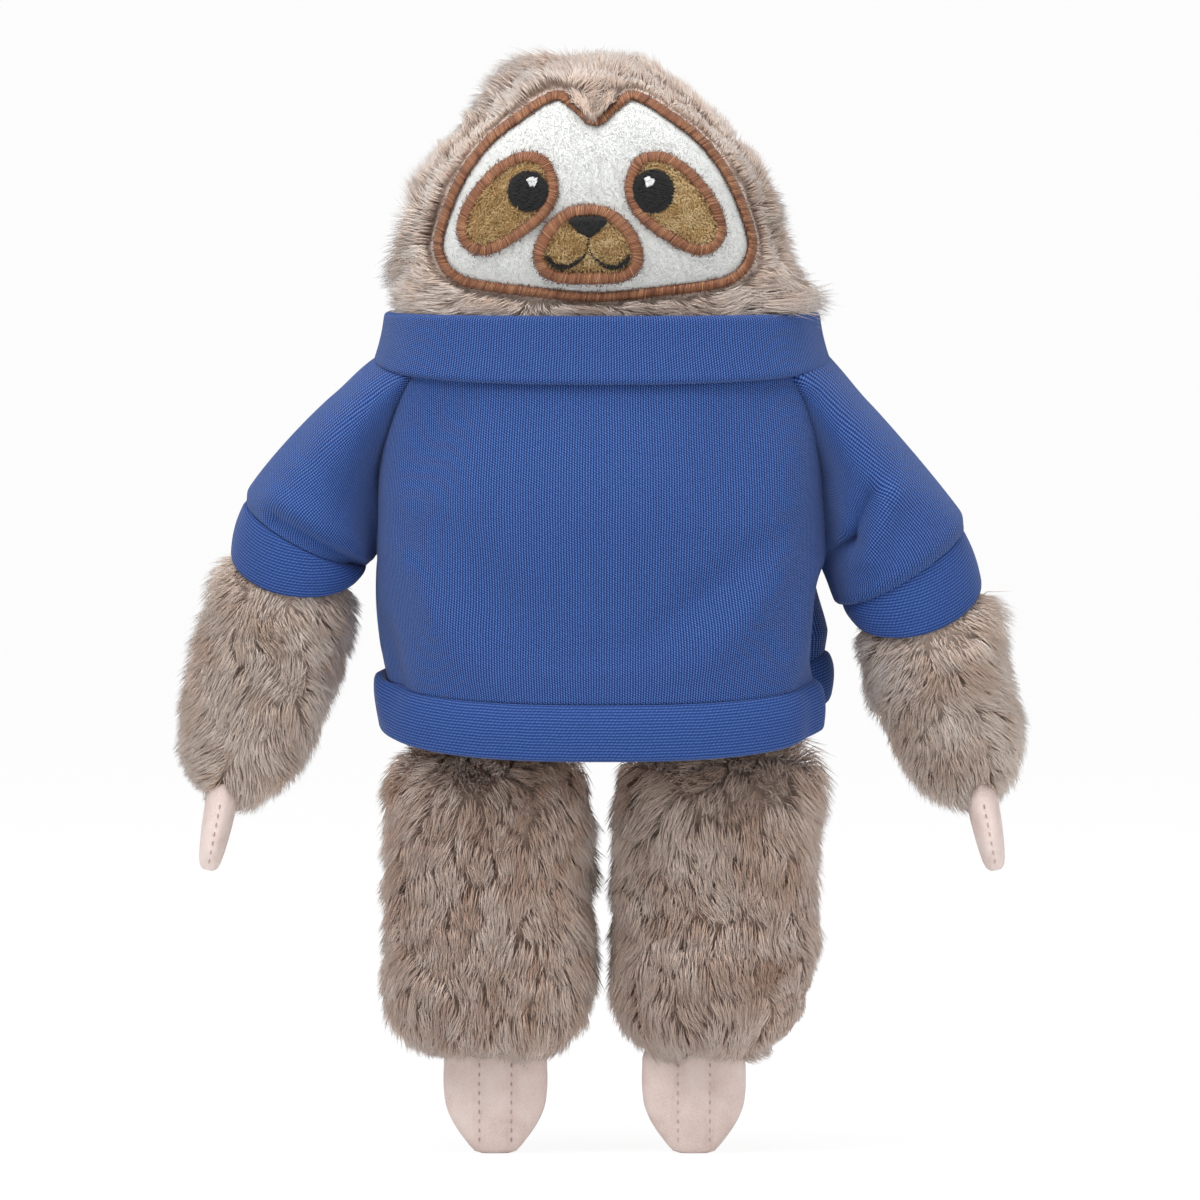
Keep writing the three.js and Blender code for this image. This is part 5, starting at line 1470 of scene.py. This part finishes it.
# %% Surface of a sleeve
def sleeve_surface(side, sign, turns, down):
    """Rings from the seam on the body to the cuff, and the way outward at each point."""
    root = sleeve_root(sign, -0.7, 0.5)
    seam = cuff_station(side, sign, "seam", CUFF_SEAM_TILT)
    seam = dict(seam, half_width=seam["half_width"] + SEAM_OUTSET, half_depth=seam["half_depth"] + SEAM_OUTSET)
    start = 0.0 if sign < 0 else np.pi
    end = ring(seam, start - turns if sign < 0 else start + turns)
    high = (1 - np.cos(turns))[:, None] / 2
    forward = -np.sin(turns)[:, None]
    leave = unit(np.array([sign, 0, 0]) + np.array([0, 1.0, 0]) * forward * (0.45 * (1 - high) + 0.1 * high)
                 + np.array([0, 0, -SLEEVE_DROPS[side]]) * high + np.array([0, 0, -0.25]) * (1 - high))
    full = SLEEVE_FULLNESS[side] * np.linalg.norm(end - root, axis=1, keepdims=True) + 2.0
    rows = np.linspace(0, 1, SLEEVE_ROWS)[:, None, None]
    h00, h10 = 2 * rows ** 3 - 3 * rows ** 2 + 1, rows ** 3 - 2 * rows ** 2 + rows
    h01, h11 = 3 * rows ** 2 - 2 * rows ** 3, rows ** 3 - rows ** 2
    grid = h00 * root + h10 * leave * full + h01 * end + h11 * down * full * 0.9
    eased = grid
    for _ in range(EASING_STEPS):
        eased = (np.roll(eased, 1, axis=1) + 2 * eased + np.roll(eased, -1, axis=1)) / 4
    grid = grid + (eased - grid) * smoothstep(rows, 0, 0.16)
    outward = unit(grid - grid.mean(axis=1, keepdims=True))
    shoulder = SHOULDER_SWELL * high * smoothstep(rows, 0, 0.06) * (1 - smoothstep(rows, 0.08, 0.35))
    swell = SLEEVE_SWELL * smoothstep(rows, 0, 0.4) * (1 - smoothstep(rows, 0.9, 1.0)) + shoulder
    front = smoothstep(-grid[..., 1:2], 0, 12)
    for (ax, az), (bx, bz), spread, depth in SLEEVE_FOLDS[side]:
        run = np.array([bx - ax, bz - az])
        spot = grid[..., [0, 2]] - [ax, az]
        share = np.clip((spot @ run) / (run @ run), 0, 1)[..., None]
        off = np.linalg.norm(spot - share * run, axis=-1, keepdims=True) / spread
        swell = swell - depth * np.exp(-off ** 2) * front
    return grid + outward * swell, outward


# %% [markdown]
# ## The two sleeves
# Both ends of a sleeve turn in at their seams, as the panels do. The knit's map runs round and along the arm, and the
# wales slant as the cloth was cut.


# %% The two sleeves
def sleeve(side, sign):
    turns = round_angles(SLEEVE_COLUMNS)
    seam = cuff_station(side, sign, "seam", CUFF_SEAM_TILT)
    down = np.cross(seam["across"], seam["back"])
    down = down * np.sign(-down[2])
    grid, outward = sleeve_surface(side, sign, turns, down)
    grid = np.concatenate([sleeve_root(sign, 2.4, 4.6)[None], sleeve_root(sign, 0.3, 3.2)[None],
                           sleeve_root(sign, -0.3, 2.0)[None], grid, grid[-1:] - outward[-1:] * 2.0 + down * 0.6])
    closed = np.concatenate([grid, grid[:, :1]], axis=1)
    around = run_length(closed, 1)
    around = around - around[:, SLEEVE_COLUMNS // 2, None]
    for _ in range(80):
        around[1:-1] = (around[:-2] + around[1:-1] + around[2:]) / 3
    along = run_length(closed, 0)
    along = along - along[-1]
    slanted = WALE_SLANT * along * np.sin(np.append(turns, 0.0))
    places = np.stack([around - slanted, along], axis=-1)
    piece = cloth_piece(f"{side}_sleeve_knit", grid, places, blue_knit, wrap=True)
    recalculate(piece)
    return piece


for side, sign in SIDES:
    piece = sleeve(side, sign)
    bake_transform(piece)
    dress(piece, None, "blue_knit", f"{side}_sleeve")


# %% [markdown]
# ## Folded bands
# Collar, hem and cuffs are strips of rib knit, folded double and sewn to the edge. The section is a flat loop: up the
# outside, over a rounded fold and down the inside, a little proud in the middle. One function draws them all between
# two rings.


# %% Folded bands
def between(top, bottom, share):
    """A ring's place part of the way from one to another."""
    place = {key: top[key] * (1 - share) + bottom[key] * share for key in top}
    place["across"], place["back"] = unit(place["across"]), unit(place["back"])
    return place


def band(name, top, bottom, wall, columns, sideways, folds=None, bulge=0.7, roll=1.3, rows=22):
    """A folded band between two rings, drawn as a closed loop in section; folds may draw it in and lift it.

    It also returns the size of the finished folded strip: its girth and its height, in metres."""
    angles = round_angles(columns)
    section = []
    for share in np.linspace(0, 1, rows):
        edge = max(1 - share / 0.1, 0, 1 - (1 - share) / 0.1)
        section.append((share, bulge * np.sin(np.pi * share) - roll * (1 - np.sqrt(max(1 - edge ** 2, 0)))))
    for share in np.linspace(1, 0, rows)[1:-1]:
        section.append((share, -wall))
    grid = []
    for share, proud in section:
        place = between(top, bottom, share)
        pulled, lifted = folds(angles, share) if folds else (0.0, 0.0)
        place["half_width"] = place["half_width"] + proud - pulled
        place["half_depth"] = place["half_depth"] + proud - pulled
        grid.append(ring(place, angles) + lifted * np.array([[0, 0, 1.0]]))
    grid = np.array(grid)
    closed = np.concatenate([grid, grid[:1]])
    closed = np.concatenate([closed, closed[:, :1]], axis=1)
    down = run_length(closed, 0)
    down = down - down[rows - 1]
    around = run_length(closed[rows // 2:rows // 2 + 1], 1) + 0 * down
    places = np.stack([down, around] if sideways else [around, down], axis=-1)
    quads, cells = ring_faces(len(closed), columns)
    quads = quads % (len(grid) * columns)
    piece = make_piece(name, grid.reshape(-1, 3), [quads], blue_rib if sideways else blue_knit,
                       {"knit": places[cells[:, 0], cells[:, 1]]})
    recalculate(piece)
    flat = (round(around.max() * MM, 3), round(down[0].mean() * -MM, 4))
    return piece, flat


# %% [markdown]
# ## Collar and hem
# The collar is a wide band that stands up against the head, cut from the same knit as the body. The hem hangs a
# little lower in front and takes up the folds of the body above it, so its rings are drawn in and lifted by the same
# functions.

# %% Collar and hem
RIB_WALL = 3.4
TORSO_RING = {"power": TORSO_POWER, "level": BACK_LEVEL}
collar_top = station(x=0, z=252.9, half_width=65.2, half_depth=43.4, tilt=1.2, **TORSO_RING)
collar_bottom = station(x=0, z=237.8, half_width=68.6, half_depth=45.2, tilt=COLLAR_TILT, **TORSO_RING)
collar, flat_size = band("collar_band_rib", collar_top, collar_bottom, RIB_WALL, 180, False, bulge=-0.5)
dress(collar, "torso", "blue_knit", "collar_band")


def hem_folds(angles, share):
    """The hem follows the folds of the body above it, tucks under its edge and rolls out at its right end."""
    off = np.abs(angles - np.pi) / 0.3
    rolled = 3.0 * np.exp(-off * off) * (1 - share) ** 2
    tucked = 1.5 * (1 - share) ** 5
    return fold_depth(angles, -0.15 * share) + tucked - rolled, fold_lift(angles, 0.0)[:, None]


hem_top = station(x=0, z=144.6, half_width=67.4, half_depth=46.6, tilt=HEM_TILT, **TORSO_RING)
hem_bottom = station(x=0, z=130.2, half_width=67.4, half_depth=46.6, tilt=13.6, **TORSO_RING)
hem, flat_size = band("hem_band_rib", hem_top, hem_bottom, RIB_WALL, 240, True, hem_folds)
dress(hem, "torso", "blue_knit", "hem_band")

# %% [markdown]
# ## Cuffs
# A cuff lies between two leaning rings on the arm. The left one hangs lower and droops more in the photograph.

# %% Cuffs
for side, sign in SIDES:
    cuff_top = cuff_station(side, sign, "seam", CUFF_SEAM_TILT)
    cuff_bottom = cuff_station(side, sign, "edge", CUFF_EDGE_TILT)
    cuff, flat_size = band(f"{side}_cuff_rib", cuff_top, cuff_bottom, RIB_WALL, 120, True)
    dress(cuff, f"{side}_arm", "blue_knit", f"{side}_cuff")

# %% [markdown]
# ## Velour
# Claws and feet are pink cotton velour. Its cut loops stand close and upright, so the cloth looks matt and even, with
# a faint paler bloom where it curves away. The fine noise is the nap and the wide one the way it has been stroked.


# %% Velour material
def velour_material(name):
    material, tree = new_material(name)
    place = add(tree, "TexCoord").outputs["Object"]
    fine = add(tree, "TexNoise", Vector=place, Scale=2200.0, Detail=2.0).outputs["Fac"]
    wide = add(tree, "TexNoise", Vector=place, Scale=140.0, Detail=2.0).outputs["Fac"]
    mixed = maths(tree, "MULTIPLY_ADD", wide, 0.5, maths(tree, "MULTIPLY", fine, 0.5))
    pink = ramped(tree, mixed, [(0.3, "#D6BFB8"), (0.5, "#E5D2CB"), (0.7, "#EDDED8")])
    bump = add(tree, "Bump", Strength=0.35, Distance=0.0002, Height=fine)
    finish_material(tree, Base_Color=pink, Roughness=0.85, Sheen_Weight=0.25, Sheen_Roughness=0.4,
                    Specular_IOR_Level=0.2, Normal=bump.outputs["Normal"])
    print("material", name)
    return material


pink_velour = velour_material("cotton_velour_pink")

# %% [markdown]
# ## Shape of a pad
# A claw or foot is a flat pad with a little batting, sewn through along two dashed lines. The cloth sinks along each
# line and swells between them. The pad's grid runs round its flat section, from a rounded root to the tip. A table
# gives its width and thickness on the way, as shares of the pad's own sizes.

# %% Shape of a pad
FOOT_SHARES = [
    [0, 1, 1], [0.35, 1, 1], [0.5, 0.96, 0.95], [0.65, 0.85, 0.87], [0.78, 0.7, 0.77], [0.88, 0.56, 0.66],
    [0.95, 0.45, 0.54], [0.985, 0.37, 0.44], [1, 0.26, 0.36],
]
CLAW_SHARES = [
    [0, 1, 1], [0.35, 1, 0.95], [0.6, 0.97, 0.86], [0.78, 0.87, 0.76], [0.9, 0.68, 0.65], [0.97, 0.45, 0.5],
    [1, 0.3, 0.34],
]
PAD_POWER = 2.4
STITCH_LINES = (-0.31, 0.31)
DASH, DASH_GAP = 1.8, 1.0


def pad_face(across, wide, thick, half_thickness):
    """How far the pad's face stands out at a place across it, sunk along the sewn lines."""
    dip = sum(np.exp(-((across - line) / 0.09) ** 2) for line in STITCH_LINES)
    swell = np.clip(1 - np.abs(across / wide) ** PAD_POWER, 0, 1) ** (1 / PAD_POWER)
    return (half_thickness * thick - np.minimum(1.1 * dip, half_thickness * thick / 2)) * swell


def pad_grid(shares, length, half_width, half_thickness, place):
    """The pad's rings from its rounded root to its tip, put in place by a function."""
    angles = round_angles(96)
    rings = []
    for turn in np.radians([80, 60, 40, 20]):
        rings.append((-half_thickness * np.sin(turn), 1.0 - 0.1 * np.sin(turn), np.cos(turn)))
    rings += [(length * down, wide, thick) for down, wide, thick in
              np.column_stack([np.linspace(0, 1, 44), read_table(shares, np.linspace(0, 1, 44))])]
    grid = []
    for down, wide, thick in rings:
        across = wide * bend(np.cos(angles), PAD_POWER)
        out = pad_face(across, wide, thick, half_thickness) * np.sign(np.sin(angles))
        grid.append(place(np.stack([half_width * across, out, np.full(len(out), -down)], axis=1)))
    return rounded_ends(np.array(grid))


# %% [markdown]
# ## Stitches through a pad
# Each dash is one stitch of cotton thread, pulled into the cloth at both ends. The same stitches show in front and
# behind, because the thread goes through. A claw is sewn along its edges too.


# %% Stitches through a pad
def dashes(shares, length, half_width, half_thickness, place, edges):
    """Stitches along the sewn lines on both faces of a pad and, on a claw, down its two edges, as threads."""
    paths, ups = [], []
    for begin in np.arange(1.2, length - 2.5, DASH + DASH_GAP):
        down = np.linspace(begin, begin + DASH, 4)
        wide, thick = read_table(shares, down / length).T
        sink = np.array([0.3, -0.22, -0.22, 0.3])
        for face in (-1, 1):
            for line in STITCH_LINES:
                out = pad_face(np.full(4, line), wide, thick, half_thickness) - sink
                paths.append(np.stack([np.full(4, line * half_width), face * out, -down], axis=1))
                ups.append([0, face, 0])
            if edges:
                paths.append(np.stack([face * (half_width * wide - sink), 0 * down, -down], axis=1))
                ups.append([face, 0, 0])
    still = place(np.zeros((1, 3)))
    return place(np.array(paths)), place(np.array(ups, float))[:, None] - still


def pad_piece(name, shape, body, node, thread):
    grid = pad_grid(*shape)
    rows, columns = grid.shape[:2]
    quads, _ = ring_faces(rows, columns)
    caps = [np.arange(columns)[None], (np.arange(columns) + (rows - 1) * columns)[None]]
    piece = make_piece(name, grid.reshape(-1, 3), [quads, *caps], pink_velour)
    recalculate(piece)
    dress(piece, body, "pink_velour", node)
    paths, ups = dashes(*shape, "claw" in name)
    tints = np.random.default_rng(len(name)).uniform(0.1, 0.9, len(paths))
    points, faces, places = merge([threads(paths, ups, np.full(len(paths), 0.24), 0.22, tints)])
    stitches = make_piece(name.replace("velour", "stitches"), points, [faces], thread, {"thread": places})
    recalculate(stitches)
    dress(stitches, body, "pink_velour")


# %% [markdown]
# ## Feet and claws
# The feet face forward and the claws are held edge on, leaning outward with the arms. Each pad hangs from the seam
# that joins it to its limb, so its place is that seam's middle.

# %% Feet and claws
FOOT_SIZES, FOOT_SEAM_Z = (28.7, 15.5, 5.0), 28.7
CLAW_SIZES, CLAW_SEAM_X, CLAW_SEAM_Z, CLAW_LEAN = (22.0, 13.0, 4.8), 114, 106.8, 11


def turned(lean, turn, centre):
    """A function that turns points about the upright, leans them about Y and moves them to a centre."""
    turn, lean = np.radians(turn), np.radians(lean)
    spin = np.array([[np.cos(turn), -np.sin(turn), 0], [np.sin(turn), np.cos(turn), 0], [0, 0, 1]])
    tip = np.array([[np.cos(lean), 0, np.sin(lean)], [0, 1, 0], [-np.sin(lean), 0, np.cos(lean)]])
    return lambda points: points @ (tip @ spin).T + centre


pink_thread = thread_material("cotton_thread_dusty_pink", [(0.0, "#B8968E"), (1.0, "#CDB0A8")], 0.6)
pale_thread = thread_material("cotton_thread_pale", [(0.0, "#C6A99E"), (1.0, "#DDC6BC")], 0.6)
FOOT_CENTRES = {"right": -32.0, "left": 27.6}
for (side, sign), thread in zip(SIDES, (pink_thread, pale_thread)):
    foot_place = turned(0, 0, np.array([FOOT_CENTRES[side], 0, FOOT_SEAM_Z]))
    pad_piece(f"{side}_foot_velour", (FOOT_SHARES, *FOOT_SIZES, foot_place), f"{side}_foot", f"{side}_foot_pad",
              thread)
    claw_place = turned(-sign * CLAW_LEAN, 90, np.array([sign * CLAW_SEAM_X, 0, CLAW_SEAM_Z]))
    pad_piece(f"{side}_claw_velour", (CLAW_SHARES, *CLAW_SIZES, claw_place), f"{side}_claw", f"{side}_claw_pad",
              pink_thread)


# %% [markdown]
# ## Stuffing
# The filling is loose siliconised polyester fibre. It is hidden in the closed skins, and it still gets a fibrous
# material, for when the toy is opened.

# %% Stuffing material
def fibre_material(name):
    material, tree = new_material(name)
    place = add(tree, "TexCoord").outputs["Object"]
    strands = add(tree, "TexNoise", Vector=place, Scale=900.0, Detail=6.0, Distortion=2.0).outputs["Fac"]
    white = ramped(tree, strands, [(0.3, "#DAD7CF"), (0.7, "#F8F7F3")])
    bump = add(tree, "Bump", Strength=0.8, Distance=0.001, Height=strands)
    finish_material(tree, Base_Color=white, Roughness=0.9, Sheen_Weight=0.3, Normal=bump.outputs["Normal"])
    return material


stuffing = fibre_material("polyester_fibre_filling")
for node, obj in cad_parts.items():
    if node.endswith("_stuffing"):
        obj.data.materials.clear()
        obj.data.materials.append(stuffing)
        print(node, "filled")

# %% [markdown]
# ## Floor, light and camera
# The toy stands on a plain white sweep. The camera sees the sweep a little brighter than light alone would make it,
# while it keeps the toy's shadow. Soft lamps from both sides and a pale world light the toy evenly.

# %% Sweep
FLOOR_FRONT, BEND_START, BEND_RADIUS = -5000.0, 4600.0, 1200.0
WALL_HEIGHT, SWEEP_HALF_WIDTH = 3600.0, 3000.0


def sweep_material():
    material, tree = new_material("painted_sweep_white")
    paint = add(tree, "BsdfDiffuse", Color=colour("#F4F4F4"))
    glow = add(tree, "Emission", Color=colour("#FFFFFF"), Strength=1.08)
    seen = add(tree, "LightPath").outputs["Is Camera Ray"]
    mixed = add(tree, "MixShader", Fac=maths(tree, "MULTIPLY", seen, 0.83))
    tree.links.new(paint.outputs[0], mixed.inputs[1])
    tree.links.new(glow.outputs[0], mixed.inputs[2])
    add(tree, "OutputMaterial", Surface=mixed.outputs[0])
    return material


bend_angles = np.linspace(0, np.pi / 2, 40)[1:-1]
wall_y = BEND_START + BEND_RADIUS
profile = [(FLOOR_FRONT, 0.0), (BEND_START, 0.0),
           *zip(BEND_START + BEND_RADIUS * np.sin(bend_angles), BEND_RADIUS * (1 - np.cos(bend_angles))),
           (wall_y, BEND_RADIUS), (wall_y, WALL_HEIGHT)]
sweep_points = np.array([[x, y, z] for y, z in profile for x in (-SWEEP_HALF_WIDTH, SWEEP_HALF_WIDTH)])
sweep = make_piece("sweep", sweep_points, [open_faces(len(profile), 2)], sweep_material())
print("sweep", len(sweep.data.polygons), "faces, wall", wall_y, "mm behind the toy")

# %% [markdown]
# ## Lamps and world
# A product photograph is lit by large soft boxes. Area lamps do the same in Blender: the wider the lamp, the softer
# the shadow's edge. The key stands high on the toy's right, the fill softens its left and the top lamp lights the
# shoulders. The pale world fills what the lamps don't reach, and the camera sees it white.

# %% Lamps and world
LAMP_TARGET = Vector((0, 0, 0.17))
# Each lamp: its power in watts, its width in metres and its place.
LAMPS = {"key": (14, 0.7, (-0.85, -1.05, 1.55)), "fill": (5, 1.2, (1.3, -1.2, 0.7)),
         "top": (13, 1.0, (0.0, -0.4, 1.6))}
for name, (power, size, place) in LAMPS.items():
    lamp = bpy.data.lights.new(name, "AREA")
    lamp.energy = power
    lamp.size = size
    obj = bpy.data.objects.new(name, lamp)
    obj.location = place
    obj.rotation_euler = (LAMP_TARGET - Vector(place)).to_track_quat("-Z", "Y").to_euler()
    bpy.context.scene.collection.objects.link(obj)
    print("lamp", name, power, "watts")

world = bpy.data.worlds.new("studio")
world.use_nodes = True
tree = world.node_tree
tree.nodes.clear()
strength = maths(tree, "MULTIPLY_ADD", add(tree, "LightPath").outputs["Is Camera Ray"], 0.49, 0.5)
sky = add(tree, "Background", Color=colour("#FFFFFF"), Strength=strength)
add(tree, "OutputWorld", Surface=sky.outputs[0])
bpy.context.scene.world = world
bpy.context.scene.view_settings.view_transform = "Standard"

# %% [markdown]
# ## Camera
# The photograph was taken from far away with a long lens, which shows in how little the toy's parts shrink with
# distance. A camera four metres off, a little above the hem, gives the same flat view. The lens follows from the
# width that the picture shows there.

# %% Camera
FRAME_WIDTH, DISTANCE, ELEVATION = 0.36, 4.0, 2.0
SENSOR_WIDTH = 36
aim = Vector((-0.0006, 0, 0.1662))
camera = bpy.data.cameras.new("camera")
camera.sensor_width = SENSOR_WIDTH
camera.lens = SENSOR_WIDTH * DISTANCE / FRAME_WIDTH
viewer = bpy.data.objects.new("camera", camera)
viewer.location = aim + Vector((0, -np.cos(np.radians(ELEVATION)), np.sin(np.radians(ELEVATION)))) * DISTANCE
viewer.rotation_euler = (aim - viewer.location).to_track_quat("-Z", "Y").to_euler()
bpy.context.scene.collection.objects.link(viewer)
bpy.context.scene.camera = viewer
print("lens", round(camera.lens), "mm")
